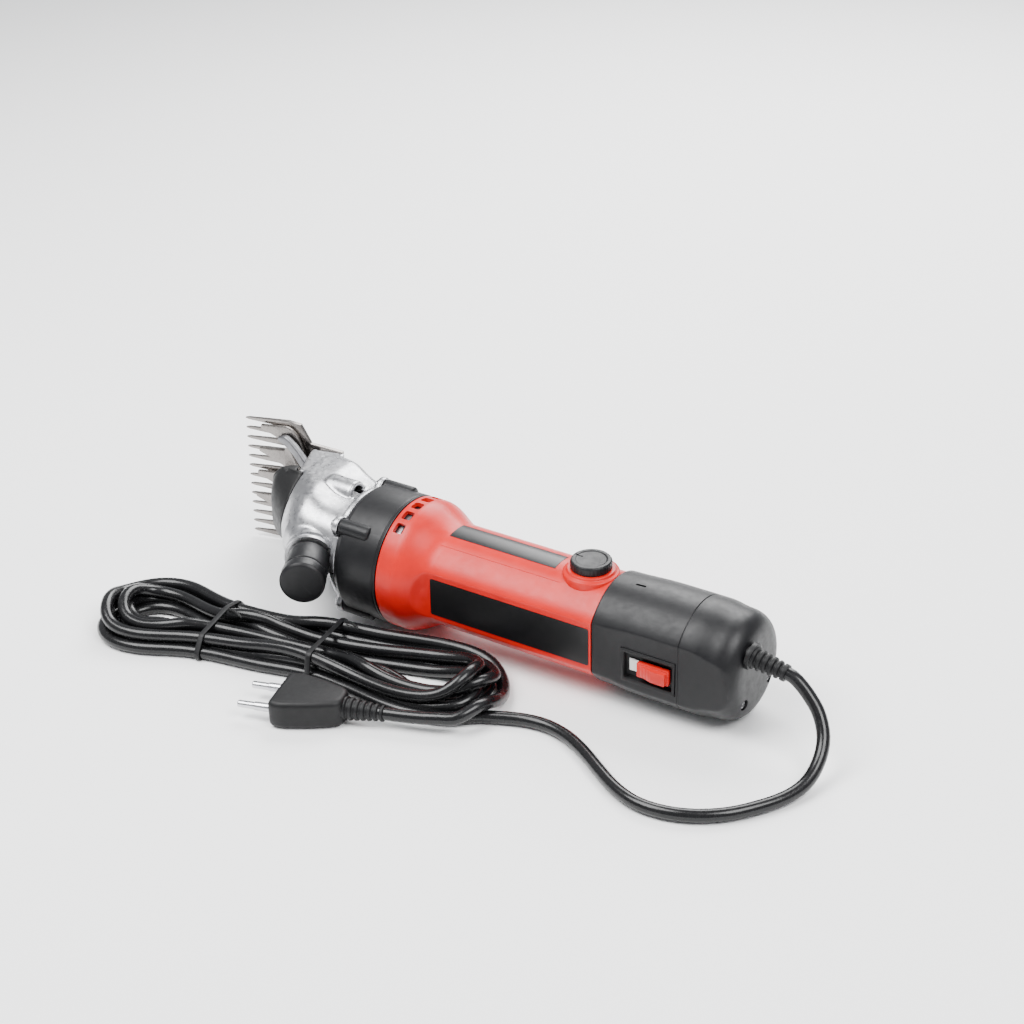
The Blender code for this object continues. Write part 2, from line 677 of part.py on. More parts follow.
def make_armature():
    shaft = rod("armature_shaft", (-7 * MM, 0, 0), (130 * MM, 0, 0), 3.0 * MM, 16, parent=ARMATURE)
    join(shaft, rod("shaft_nose", (-19 * MM, 0, 0), (0, 0, 0), 1.6 * MM, 12, parent=ARMATURE))
    finish(shaft, STEEL, 0.3, 1)
    bore = 3.0 * MM + GAP
    # A pinion tooth and a crank gear gap meet on the line of centres, which runs along +Y.
    half_tooth = pi / PINION_TEETH
    gear("pinion_gear", PINION_TEETH, -18 * MM, -8 * MM, ARMATURE, 1.6 * MM + GAP, pi / 2 + half_tooth)
    profile = []
    slots = 12
    for i in range(slots):
        for radius, half in ((9.0, 0.10), (9.0, -0.10), (13.2, -0.06), (13.2, -0.46)):
            angle = 2 * pi * i / slots - half
            profile.append((radius * MM * cos(angle), radius * MM * sin(angle)))
    core = extruded("armature_core", profile, 47 * MM, 88 * MM, ARMATURE, Matrix.Rotation(pi / 2, 4, "Y"))
    cut(core, rod("core_bore", (40 * MM, 0, 0), (95 * MM, 0, 0), bore, 16, parent=ARMATURE))
    finish(core, (0.25, 0.2, 0.17), 0.5, 0.8)
    finish(tube("commutator", 97 * MM, 108 * MM, 8 * MM, bore, 24, parent=ARMATURE), COPPER, 0.3, 1)
    fan = tube("cooling_fan", 34 * MM, 36 * MM, 22 * MM, bore, 32, parent=ARMATURE)
    blades = 8
    for i in range(blades):
        blade = block(f"blade_{i}", (27 * MM, 9 * MM, -0.8 * MM), (35 * MM, 21.5 * MM, 0.8 * MM), ARMATURE)
        blade.matrix_local = Matrix.Rotation(2 * pi * i / blades, 4, "X")
        join(fan, blade)
    finish(fan, BLACK, 0.5)


def make_crank():
    gear("crank_gear", CRANK_TEETH, -18 * MM, -8 * MM, CRANK, 4.0 * MM + GAP)
    shaft = rod("crank_shaft", (-27 * MM, 0, 0), (6 * MM, 0, 0), 4.0 * MM, 16, parent=CRANK)
    join(shaft, rod("crank_disc", (-27.5 * MM, 0, 0), (-24 * MM, 0, 0), 7 * MM, 24, parent=CRANK))
    offset = (0, -CRANK_THROW)
    join(shaft, rod("crank_pin", (-31.5 * MM, *offset), (-25 * MM, *offset), 1.6 * MM, 12, parent=CRANK))
    finish(shaft, STEEL, 0.3, 1)
    roller = turned(
        "crank_roller",
        [(-28 * MM, 1.9 * MM), (-28 * MM, 3.6 * MM), (-31.5 * MM, 3.6 * MM), (-31.5 * MM, 1.9 * MM)],
        20,
        (0, *offset),
        parent=CRANK,
        closed=True,
    )
    finish(roller, STEEL, 0.25, 1)


def make_motor_frame():
    plate = tube("bearing_plate", 2 * MM, 6 * MM, 33.6 * MM, 8.3 * MM, 32)
    cut(plate, rod("crank_hole", (0, GEAR_CENTRES, 0), (9 * MM, GEAR_CENTRES, 0), 4.4 * MM, 16))
    finish(plate, ALUMINIUM, 0.4, 1)
    finish(tube("front_bearing", 1.5 * MM, 7.5 * MM, 8 * MM, 3.3 * MM, 24), STEEL, 0.25, 1)
    finish(tube("rear_bearing", 123 * MM, 129 * MM, 8 * MM, 3.3 * MM, 24), STEEL, 0.25, 1)
    bracket = tube("bearing_bracket", 124 * MM, 127.5 * MM, 23.3 * MM, 8.3 * MM, 32)
    finish(bracket, (0.08, 0.07, 0.06), 0.6)
    finish(tube("stator_core", 45 * MM, 90 * MM, 23.2 * MM, 19 * MM, 32), STEEL, 0.5, 0.8)
    for i, side in enumerate((1, -1)):
        arc = [radians(-50 + 20 * k) for k in range(6)]
        outer = [(18.6 * MM * cos(a) * side, 18.6 * MM * sin(a) * side) for a in arc]
        inner = [(14.2 * MM * cos(a) * side, 14.2 * MM * sin(a) * side) for a in reversed(arc)]
        across = Matrix.Rotation(pi / 2, 4, "Y")
        coil = extruded(f"field_coil_{i + 1}", outer + inner, 41 * MM, 94 * MM, matrix=across)
        finish(coil, COPPER, 0.45, 0.6)
    for i, side in enumerate((1, -1)):
        low, high = sorted((9 * MM * side, 22 * MM * side))
        holder = block(f"brush_holder_{i + 1}", (98 * MM, low, -4.5 * MM), (107 * MM, high, 4.5 * MM))
        low, high = sorted((5 * MM * side, 30 * MM * side))
        cut(holder, block(f"holder_bore_{i}", (99.5 * MM, low, -3 * MM), (105.5 * MM, high, 3 * MM)))
        finish(holder, (0.6, 0.45, 0.2), 0.4, 1)
        low, high = sorted((8.3 * MM * side, 18 * MM * side))
        brush = block(f"carbon_brush_{i + 1}", (99.8 * MM, low, -2.7 * MM), (105.2 * MM, high, 2.7 * MM))
        finish(brush, (0.03, 0.03, 0.03), 0.7)


# ---------------------------------------------------------------- controls


def make_switch():
    (x_low, x_high), (z_low, z_high) = SWITCH_X, SWITCH_Z
    face, floor = FLAT_Y - 0.4 * MM, FLAT_Y + 2.6 * MM
    low, high = (x_low + GAP, face, z_low + GAP), (x_high - GAP, floor + 1.5 * MM, z_high - GAP)
    bezel = block("switch_bezel", low, high)
    tray_low = (x_low + 2 * MM, -40 * MM, z_low + 2.6 * MM)
    tray_high = (x_high - 2 * MM, floor, z_high - 2.6 * MM)
    cut(bezel, block("bezel_tray", tray_low, tray_high))
    cut(bezel, block("bezel_slot", (156 * MM, -40 * MM, -6 * MM), (174 * MM, -15 * MM, 0)))
    finish(bezel, BLACK, 0.5)
    slider_face = FLAT_Y - 1.2 * MM
    index_face = floor - GAP - 0.6 * MM
    foot = index_face - GAP
    slider = block("switch_slider", (158 * MM, slider_face, -7.2 * MM), (176.5 * MM, foot, 1.2 * MM), SLIDER)
    wedge_points = [(160 * MM, 0.5 * MM), (168 * MM, -2.6 * MM), (175 * MM, -2.6 * MM), (175 * MM, 0.5 * MM)]
    wedge = extruded(
        "slider_wedge",
        wedge_points,
        -6.2 * MM,
        0.4 * MM,
        SLIDER,
        Matrix.Translation((0, slider_face, 0)),
    )
    stem_low, stem_high = (162.6 * MM, foot - 1 * MM, -4.5 * MM), (171.5 * MM, -20.5 * MM, -1.5 * MM)
    stem = block("slider_stem", stem_low, stem_high, SLIDER)
    join(slider, wedge, stem)
    finish(slider, RED, 0.35)
    index_low, index_high = (152.2 * MM, index_face, -6.5 * MM), (157.4 * MM, floor - GAP, 0.5 * MM)
    index = block("switch_index", index_low, index_high)
    finish(index, (0.85, 0.85, 0.83), 0.4)
    body = block("switch_body", (150 * MM, -20 * MM, -10 * MM), (179 * MM, -6 * MM, 4 * MM))
    finish(body, (0.1, 0.1, 0.1), 0.5)


def make_speed_control():
    bottom = 30.6 * MM + GAP
    profile = [
        (DIAL_TOP, 0),
        (DIAL_TOP, DIAL_R - 0.8 * MM),
        (DIAL_TOP - 0.8 * MM, DIAL_R),
        (bottom, DIAL_R),
        (bottom, 0),
    ]
    dial = turned("speed_dial", profile, 40, (0, 0, 0), (0, 0, 1), parent=DIAL)
    finish(dial, BLACK, 0.35)
    shaft = rod("dial_shaft", (0, 0, 25.2 * MM), (0, 0, 30.6 * MM), 3.0 * MM, 16, parent=DIAL)
    finish(shaft, STEEL, 0.3, 1)
    body = rod("potentiometer", (DIAL_X, 0, 19 * MM), (DIAL_X, 0, 24.8 * MM), 7.5 * MM, 20)
    finish(body, (0.15, 0.2, 0.3), 0.5)
    board = block("speed_board", (132 * MM, 14 * MM, -17 * MM), (172 * MM, 15.6 * MM, 17 * MM))
    finish(board, (0.05, 0.2, 0.09), 0.5)
    terminals = block("terminal_block", (184 * MM, -6 * MM, -4 * MM), (196 * MM, 6 * MM, 6 * MM))
    finish(terminals, (0.75, 0.73, 0.68), 0.5)


# ---------------------------------------------------------------- cord, hank and plug


def smooth_route(points, spacing):
    """Points read at this spacing from a smooth curve through the route's own points."""
    fine = []
    ends = [points[0] * 2 - points[1]] + points + [points[-1] * 2 - points[-2]]
    for a, b, c, d in zip(ends, ends[1:], ends[2:], ends[3:]):
        fine += interpolate_bezier(b, b + (c - a) / 6, c - (d - b) / 6, c, 24)[:-1]
    fine.append(points[-1])
    kept, travelled = [fine[0]], 0.0
    for a, b in zip(fine, fine[1:]):
        travelled += (b - a).length
        if travelled >= spacing:
            kept.append(b)
            travelled = 0.0
    if (kept[-1] - fine[-1]).length < spacing / 2:
        kept.pop()
    return kept + [fine[-1]]


def cord_tube(name, points):
    curve = bpy.data.curves.new(name, "CURVE")
    curve.dimensions = "3D"
    curve.bevel_depth = CORD_R
    curve.bevel_resolution = 2
    curve.use_fill_caps = True
    spline = curve.splines.new("POLY")
    route = smooth_route(points, 4 * CORD_R)
    spline.points.add(len(route) - 1)
    for point, place in zip(spline.points, route):
        point.co = (*place, 1)
    return finish(placed(name, curve, None), BLACK, 0.35)


def in_world(point):
    """Where a point of the tool lies on the floor."""
    return TOOL.matrix_basis @ Vector(point)


def route(*points):
    return [Vector(point) * MM for point in points]


def hank_half_width(station, right_fan=0.0):
    """Half the hank's width: narrow between the ties, and spread towards its two looped ends."""
    spread_left = min(max((TIE_STATIONS[0] - 8 * MM - station) / (38 * MM), 0), 1)
    spread_right = min(max((station - TIE_STATIONS[1] - 8 * MM) / (50 * MM), 0), 1)
    left_width = LEFT_FAN * sin(spread_left * pi / 2) ** 2
    right_width = right_fan * sin(spread_right * pi / 2) ** 2
    return HANK_WAIST + left_width + right_width


def hank_outline():
    near, far = [], []
    end_left = -HANK_HALF_LENGTH + 33 * MM
    end_right = HANK_HALF_LENGTH - 27 * MM
    steps = 20
    for i in range(steps + 1):
        station = end_left + (end_right - end_left) * i / steps
        near.append((station, -hank_half_width(station, NEAR_FAN)))
        far.append((station, hank_half_width(station, FAR_FAN)))
    outline = list(near)
    for i in range(1, 8):
        angle = radians(-90 + 180 * i / 8)
        side = near[-1][1] if sin(angle) < 0 else far[-1][1]
        outline.append((end_right + 27 * MM * cos(angle), side * abs(sin(angle))))
    outline += reversed(far)
    for i in range(1, 8):
        angle = radians(90 + 180 * i / 8)
        outline.append((end_left + 33 * MM * cos(angle), far[0][1] * sin(angle)))
    return outline


def hank_placement(station=0.0):
    centre = Matrix.Translation(HANK_CENTRE) @ Matrix.Rotation(HANK_TURN, 4, "Z")
    return centre @ Matrix.Translation((station, 0, 0))


def make_tie(index, station):
    """A twist tie: a flat band round the hank's waist."""
    width, half = 3.0 * MM, hank_half_width(station) + 0.6 * MM
    band = block(
        f"cord_tie_{index}",
        (-width / 2, -half - 1.5 * MM, 0.3 * MM),
        (width / 2, half + 1.5 * MM, HANK_TOP + 2.0 * MM),
        None,
    )
    band.matrix_local = hank_placement(station)
    inside = block(
        f"tie_inside_{index}",
        (-width, -half, HANK_FLOOR - 0.3 * MM),
        (width, half, HANK_TOP + 0.4 * MM),
        None,
    )
    inside.matrix_local = hank_placement(station)
    cut(band, inside)
    finish(band, BLACK, 0.5)


def make_cord():
    end = in_world(RELIEF_END)
    direction = (end - in_world((TAIL_END + 1.5 * MM, *CORD_EXIT))).normalized()
    start = end + direction * 4 * GAP
    lead = [start]
    lead += route((210, -8, 35.5), (220, -12.5, 27.5), (226.5, -20, 18), (228.5, -31, 10), (227.5, -43, 5.5))
    lead += route((223, -55.5, 4), (215.5, -68, 3.8), (206, -79.5, 3.8), (193.5, -88.5, 3.8))
    lead += route((178.5, -93.5, 3.8), (163, -93.5, 3.8), (148, -88, 3.8), (133.5, -79, 3.8))
    lead += route((119.5, -69.5, 3.8), (105, -61.5, 3.8), (90.5, -57.5, 3.8))
    lead += route((76, -58.5, 3.8), (60.5, -64.3, 3.8))
    cord_tube("power_cord", lead)
    hank = extruded("cord_hank", hank_outline(), HANK_FLOOR, HANK_TOP, None, hank_placement())
    finish(hank, BLACK, 0.4)
    for i, station in enumerate(TIE_STATIONS):
        make_tie(i + 1, station)
    plug_lead = route((14.5, -94.4, 8.3), (24, -91.7, 8.3), (33, -88.8, 8.5))
    plug_lead += route((42.5, -85.2, 9), (51, -81, 9.5))
    cord_tube("plug_lead", plug_lead)
    make_plug()


def make_plug():
    """A flat two-pin plug lying beside the hank, its pins towards the comb's end."""
    outline = [(0, -8), (0, 8), (-14, 13.5), (-30, 17), (-36, 15), (-36, -15), (-30, -17), (-14, -13.5)]
    outline = [(x * MM, y * MM) for x, y in outline]
    place = Matrix.Translation(PLUG_PLACE) @ Matrix.Rotation(PLUG_TURN, 4, "Z")
    body = extruded("plug_body", outline, 0.3 * MM, 16.3 * MM, None, place)
    neck_start, neck_end = (-2 * MM, 0, PLUG_AXIS), (23 * MM, 0, PLUG_AXIS)
    neck = rod("plug_neck", neck_start, neck_end, 6.5 * MM, 16, 4.3 * MM, None, place)
    join(body, neck)
    finish(body, BLACK, 0.4)
    for i, side in enumerate((-1, 1)):
        y = side * 9.5 * MM
        pin_start, pin_end = (-36.3 * MM, y, PLUG_AXIS), (-55 * MM, y, PLUG_AXIS)
        pin = rod(f"plug_pin_{i + 1}", pin_start, pin_end, 2.4 * MM, 12, 1.9 * MM, None, place)
        finish(pin, STEEL, 0.2, 1)


def make_strain_relief():
    start = Vector((TAIL_END + 1.5 * MM, *CORD_EXIT))
    relief = rod("strain_relief", start, RELIEF_END, 6.2 * MM, 20, 4.4 * MM)
    collar_end = (TAIL_END + 3 * MM, *CORD_EXIT)
    join(relief, rod("relief_collar", (TAIL_END + GAP, *CORD_EXIT), collar_end, 7.4 * MM, 20))
    join(relief, rod("relief_stem", (TAIL_END - 6 * MM, *CORD_EXIT), collar_end, 4.2 * MM, 16))
    finish(relief, BLACK, 0.5)


make_handle()
make_rear_cover()
make_gearbox_ring()
make_flange_screws()
make_head_casting()
make_nose_guard()
make_comb()
FORK = fork_frame()
make_fork()
make_pivot_post()
TENSION = new_empty("tension", TOOL)
make_tension()
ARMATURE = new_empty("armature", TOOL)
make_armature()
CRANK = new_empty("crank", TOOL, (0, GEAR_CENTRES, 0))
make_crank()
make_motor_frame()
SLIDER = new_empty("slider", TOOL)
make_switch()
DIAL = new_empty("dial", TOOL, (DIAL_X, 0, 0))
make_speed_control()
make_strain_relief()
make_cord()
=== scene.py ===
import random
from math import atan2, cos, hypot, pi, radians, sin

import bmesh
import bpy
import numpy as np
from mathutils import Matrix, Vector
from mathutils.geometry import interpolate_bezier


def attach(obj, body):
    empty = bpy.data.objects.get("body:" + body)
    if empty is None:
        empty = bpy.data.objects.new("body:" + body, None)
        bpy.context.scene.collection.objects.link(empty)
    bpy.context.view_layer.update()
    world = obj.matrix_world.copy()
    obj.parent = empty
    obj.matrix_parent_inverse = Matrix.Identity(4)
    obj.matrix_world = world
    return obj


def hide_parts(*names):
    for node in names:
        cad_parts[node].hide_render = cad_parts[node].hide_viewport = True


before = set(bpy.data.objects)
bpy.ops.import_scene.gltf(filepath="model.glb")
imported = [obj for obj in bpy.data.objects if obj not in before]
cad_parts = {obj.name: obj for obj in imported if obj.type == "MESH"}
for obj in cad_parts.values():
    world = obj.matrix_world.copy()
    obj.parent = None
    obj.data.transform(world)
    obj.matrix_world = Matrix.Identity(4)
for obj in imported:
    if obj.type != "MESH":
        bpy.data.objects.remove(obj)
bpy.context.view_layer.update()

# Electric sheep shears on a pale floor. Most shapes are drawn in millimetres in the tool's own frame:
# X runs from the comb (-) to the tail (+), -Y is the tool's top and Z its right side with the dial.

MM = 0.001
LEAN = radians(1.8)
TOOL_HEIGHT = 36.8 * cos(LEAN) + 9 * sin(LEAN)
IN_MM = Matrix.Scale(MM, 4)
TOOL = Matrix.Translation((-35.2, 4.1, TOOL_HEIGHT)) @ Matrix.Rotation(LEAN, 4, "Y")
random.seed(4)

# ---- camera

EYE = Vector((0.635337, -0.879073, 0.650897))
LOOK = Vector((-0.498437, 0.729619, -0.468206))
RIGHT = Vector((0.837591, 0.544602, -0.043003))
LENS_MM = 80.86


def make_camera():
    data = bpy.data.cameras.new("camera")
    data.lens = LENS_MM
    data.sensor_width = 36
    data.clip_start = 0.01
    camera = bpy.data.objects.new("camera", data)
    up = RIGHT.cross(LOOK)
    axes = Matrix((RIGHT, up, -LOOK)).transposed().to_4x4()
    camera.matrix_world = Matrix.Translation(EYE) @ axes
    bpy.context.scene.collection.objects.link(camera)
    bpy.context.scene.camera = camera


make_camera()

# ---- mesh helpers


def link(obj):
    bpy.context.scene.collection.objects.link(obj)
    return obj


def solid(name, shape, place=TOOL):
    """An object from a shape drawn in millimetres in that placement. Its own origin is the world's."""
    bmesh.ops.recalc_face_normals(shape, faces=shape.faces)
    shape.transform(IN_MM @ place)
    if shape.calc_volume(signed=True) < 0:
        bmesh.ops.reverse_faces(shape, faces=shape.faces)
    mesh = bpy.data.meshes.new(name)
    shape.to_mesh(mesh)
    shape.free()
    return link(bpy.data.objects.new(name, mesh))


def stitch(shape, rows, loop=False):
    """Faces between each ring of points and the next. A ring of one point is a pole."""
    pairs = list(zip(rows, rows[1:]))
    if loop:
        pairs.append((rows[-1], rows[0]))
    for a, b in pairs:
        steps = max(len(a), len(b))
        for i in range(steps):
            j = (i + 1) % steps
            corners = (a[i % len(a)], a[j % len(a)], b[j % len(b)], b[i % len(b)])
            corners = list(dict.fromkeys(corners))
            if len(corners) > 2:
                shape.faces.new(corners)


def skin(rings, loop=False):
    """A closed skin over rings of as many points, capped at its ends unless it loops."""
    shape = bmesh.new()
    rows = [[shape.verts.new(point) for point in ring] for ring in rings]
    stitch(shape, rows, loop)
    if not loop:
        for row in (rows[0], rows[-1]):
            if len(row) > 2:
                shape.faces.new(row)
    return shape


def lathe(profile, steps=64, loop=False):
    """A shape turned about Z. The profile lists (station, radius)."""
    rings = []
    for station, radius in profile:
        if radius == 0:
            rings.append([(0, 0, station)])
            continue
        turns = [2 * pi * i / steps for i in range(steps)]
        rings.append([(radius * cos(a), radius * sin(a), station) for a in turns])
    return skin(rings, loop)


def prism(outline, low, high):
    return skin([[(x, y, low) for x, y in outline], [(x, y, high) for x, y in outline]])


def softened(points, radius, steps=4, cyclic=True):
    """The same line with each of its corners rounded."""
    made = []
    last = len(points) - 1
    for i, point in enumerate(points):
        if not cyclic and i in (0, last):
            made.append(tuple(point))
            continue
        here, before, after = Vector(point), Vector(points[i - 1]), Vector(points[(i + 1) % len(points)])
        back, ahead = before - here, after - here
        reach = min(radius, 0.45 * back.length, 0.45 * ahead.length)
        start, end = here + back.normalized() * reach, here + ahead.normalized() * reach
        for k in range(steps + 1):
            t = k / steps
            made.append(tuple(start * (1 - t) ** 2 + here * 2 * t * (1 - t) + end * t * t))
    return made


def rectangle(x_low, x_high, y_low, y_high):
    return [(x_low, y_low), (x_high, y_low), (x_high, y_high), (x_low, y_high)]


def box(low, high):
    return prism(rectangle(low[0], high[0], low[1], high[1]), low[2], high[2])


def along(start, end):
    """The placement whose Z runs from one point to another."""
    direction = Vector(end) - Vector(start)
    return Matrix.Translation(start) @ direction.to_track_quat("Z", "Y").to_matrix().to_4x4()


def rod(name, start, end, radius, steps=40, place=TOOL):
    length = (Vector(end) - Vector(start)).length
    profile = [(0, 0), (0, radius), (length, radius), (length, 0)]
    return solid(name, lathe(profile, steps), place @ along(start, end))


def baked(obj):
    """Applies the object's modifiers."""
    graph = bpy.context.evaluated_depsgraph_get()
    mesh = bpy.data.meshes.new_from_object(obj.evaluated_get(graph))
    obj.modifiers.clear()
    obj.data = mesh
    return obj


def bevelled(obj, width, segments=3, angle=30):
    edge = obj.modifiers.new("edge", "BEVEL")
    edge.width = width * MM
    edge.segments = segments
    edge.limit_method = "ANGLE"
    edge.angle_limit = radians(angle)
    return baked(obj)


def combined(obj, tools, operation="DIFFERENCE"):
    """Cuts the tools from the object, or joins them to it, and removes them."""
    for tool in tools:
        step = obj.modifiers.new("step", "BOOLEAN")
        step.operation = operation
        step.solver = "EXACT"
        step.object = tool
    baked(obj)
    for tool in tools:
        bpy.data.objects.remove(tool)
    return obj


def recast(obj, voxel, rounds):
    """Rebuilds the surface as a casting or a moulding has it, with small fillets in every corner."""
    cast = obj.modifiers.new("cast", "REMESH")
    cast.mode = "VOXEL"
    cast.voxel_size = voxel * MM
    soft = obj.modifiers.new("soft", "SMOOTH")
    soft.factor = 0.5
    soft.iterations = rounds
    return baked(obj)


def merged(obj, others):
    """Puts the others' faces into the object's mesh."""
    shape = bmesh.new()
    shape.from_mesh(obj.data)
    for other in others:
        shape.from_mesh(other.data)
        bpy.data.objects.remove(other)
    shape.to_mesh(obj.data)
    shape.free()
    return obj


def piece(obj, body, finish, nodes=(), sharp=32):
    """Finishes a visible piece: its material, its shading, its body, and the CAD nodes it stands for."""
    if obj.type == "MESH":
        obj.data.shade_smooth()
        obj.data.set_sharp_from_angle(angle=radians(sharp))
    obj.data.materials.clear()
    obj.data.materials.append(finish)
    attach(obj, body)
    if nodes:
        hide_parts(*nodes)
    return obj


# ---- materials


class Nodes:
    """A material's node tree, written from its shader backwards."""

    def __init__(self, name, color, roughness, metallic=0.0):
        self.material = bpy.data.materials.new(name)
        self.material.use_nodes = True
        self.tree = self.material.node_tree
        self.shader = self.tree.nodes["Principled BSDF"]
        self.color = (*color, 1)
        self.roughness = roughness
        self.put(self.shader, Base_Color=self.color, Roughness=roughness, Metallic=metallic)
        self.place = self.add("ShaderNodeTexCoord").outputs["Object"]

    def add(self, kind, **settings):
        node = self.tree.nodes.new(kind)
        for name, value in settings.items():
            setattr(node, name, value)
        return node

    def put(self, node, **values):
        """Sets a node's sockets. An underscore stands for a space in a socket's name."""
        for name, value in values.items():
            node.inputs[name.replace("_", " ")].default_value = value

    def wire(self, source, target):
        self.tree.links.new(source, target)

    def noise(self, scale, detail=3.0, rough=0.55, stretch=None):
        """Noise of this many cells per metre, drawn out along an axis where stretch says so."""
        node = self.add("ShaderNodeTexNoise")
        self.put(node, Scale=scale, Detail=detail, Roughness=rough)
        if stretch:
            mapping = self.add("ShaderNodeMapping")
            self.put(mapping, Scale=stretch)
            self.wire(self.place, mapping.inputs["Vector"])
            self.wire(mapping.outputs["Vector"], node.inputs["Vector"])
        else:
            self.wire(self.place, node.inputs["Vector"])
        return node.outputs["Fac"]

    def ramp(self, source, low, high, from_value, to_value):
        node = self.add("ShaderNodeMapRange")
        self.put(node, From_Min=low, From_Max=high, To_Min=from_value, To_Max=to_value)
        self.wire(source, node.inputs["Value"])
        return node.outputs["Result"]

    def tint(self, source, other, previous=None):
        """Mixes the base colour towards another one by the source's value."""
        mix = self.add("ShaderNodeMix", data_type="RGBA")
        self.put(mix, A=self.color, B=(*other, 1))
        if previous is not None:
            self.wire(previous, mix.inputs["A"])
        self.wire(source, mix.inputs["Factor"])
        color = [socket for socket in mix.outputs if socket.type == "RGBA"][0]
        self.wire(color, self.shader.inputs["Base Color"])
        return color

    def vary_roughness(self, source, spread):
        value = self.ramp(source, 0.3, 0.7, self.roughness - spread, self.roughness + spread)
        self.wire(value, self.shader.inputs["Roughness"])

    def bump(self, source, height, strength, previous=None):
        """Relief of this height in metres."""
        node = self.add("ShaderNodeBump")
        self.put(node, Distance=height, Strength=strength)
        self.wire(source, node.inputs["Height"])
        if previous is not None:
            self.wire(previous, node.inputs["Normal"])
        self.wire(node.outputs["Normal"], self.shader.inputs["Normal"])
        return node.outputs["Normal"]

    def worn_edges(self, color, strength, previous=None):
        """Lightens convex edges a little, where hands and cloth rub."""
        edge = self.add("ShaderNodeNewGeometry").outputs["Pointiness"]
        return self.tint(self.ramp(edge, 0.52, 0.60, 0.0, strength), color, previous)


def moulded(name, color, roughness, light, grain=0.00005, sheen=0.0):
    """Moulded plastic: a fine spark-eroded grain, faint flow marks, and rubbed edges."""
    made = Nodes(name, color, roughness)
    flow = made.noise(45, 4)
    darker = tuple(0.72 * c for c in color)
    base = made.tint(made.ramp(flow, 0.42, 0.68, 0.0, 0.55), darker)
    made.worn_edges(light, 0.3, base)
    made.vary_roughness(made.noise(260, 4), 0.06)
    rough = made.bump(made.noise(2600, 2), grain, 0.55)
    made.bump(made.noise(170, 2), 0.00012, 0.18, rough)
    made.put(made.shader, Specular_IOR_Level=0.28, Coat_Weight=sheen, Coat_Roughness=0.32)
    return made.material


def printed_film(name):
    """Black printed film under a thin gloss varnish, with a faint orange peel."""
    made = Nodes(name, (0.004, 0.004, 0.0045), 0.3)
    made.tint(made.ramp(made.noise(35, 3), 0.4, 0.7, 0.0, 0.6), (0.007, 0.007, 0.008))
    made.vary_roughness(made.noise(500, 3), 0.02)
    made.bump(made.noise(900, 2), 0.00002, 0.2)
    made.put(made.shader, Specular_IOR_Level=0.3, Coat_Weight=0.12, Coat_Roughness=0.2)
    return made.material


def cast_metal(name):
    """Satin die-cast aluminium: mottled, tumbled, with a fine pitted skin."""
    made = Nodes(name, (0.50, 0.50, 0.51), 0.33, 1)
    mottle = made.noise(130, 5)
    base = made.tint(made.ramp(mottle, 0.35, 0.7, 0.0, 0.7), (0.34, 0.34, 0.36))
    made.worn_edges((0.74, 0.74, 0.75), 0.5, base)
    made.vary_roughness(made.noise(420, 4), 0.09)
    rough = made.bump(made.noise(1900, 3), 0.00006, 0.5)
    made.bump(made.noise(300, 3), 0.00012, 0.25, rough)
    return made.material


def ground_steel(name, color, roughness, stretch=(1, 14, 1), scale=900):
    """Ground steel: fine parallel marks from the wheel, oil films and small stains."""
    made = Nodes(name, color, roughness, 1)
    marks = made.noise(scale, 3, 0.6, stretch)
    stains = made.noise(160, 5)
    base = made.tint(made.ramp(stains, 0.5, 0.72, 0.0, 0.6), tuple(0.55 * c for c in color))
    made.worn_edges(tuple(min(1.6 * c, 0.9) for c in color), 0.5, base)
    made.vary_roughness(marks, 0.1)
    rough = made.bump(marks, 0.00003, 0.5)
    made.bump(made.noise(700, 2), 0.00004, 0.2, rough)
    return made.material


def cable_jacket(name):
    """Soft black PVC: glossy, with the long faint waves of an extruded jacket."""
    made = Nodes(name, (0.005, 0.005, 0.0055), 0.24)
    made.tint(made.ramp(made.noise(90, 4), 0.45, 0.7, 0.0, 0.6), (0.010, 0.010, 0.011))
    made.vary_roughness(made.noise(380, 4), 0.07)
    rough = made.bump(made.noise(1500, 2), 0.00002, 0.3)
    made.bump(made.noise(140, 2), 0.0002, 0.15, rough)
    made.put(made.shader, Specular_IOR_Level=0.3, Coat_Weight=0.1, Coat_Roughness=0.16)
    return made.material


def banded(name, color, other, roughness, metallic, bands, axis="X"):
    """Thin bands across one axis, as in stacked laminations or wound wire."""
    made = Nodes(name, color, roughness, metallic)
    wave = made.add("ShaderNodeTexWave", wave_type="BANDS", bands_direction=axis)
    made.put(wave, Scale=bands, Distortion=0.6)
    made.wire(made.place, wave.inputs["Vector"])
    lines = wave.outputs["Fac"]
    made.tint(made.ramp(lines, 0.3, 0.75, 0.0, 0.8), other)
    made.vary_roughness(made.noise(500, 3), 0.08)
    made.bump(lines, 0.0002, 0.6)
    return made.material


def circuit_board(name):
    """Green solder mask over copper tracks."""
    made = Nodes(name, (0.02, 0.12, 0.045), 0.35)
    tracks = made.add("ShaderNodeTexBrick")
    made.put(tracks, Scale=160)
    made.wire(made.place, tracks.inputs["Vector"])
    made.tint(made.ramp(tracks.outputs["Fac"], 0.2, 0.8, 0.0, 0.8), (0.04, 0.22, 0.08))
    made.vary_roughness(made.noise(400, 3), 0.06)
    made.bump(tracks.outputs["Fac"], 0.00008, 0.5)
    return made.material


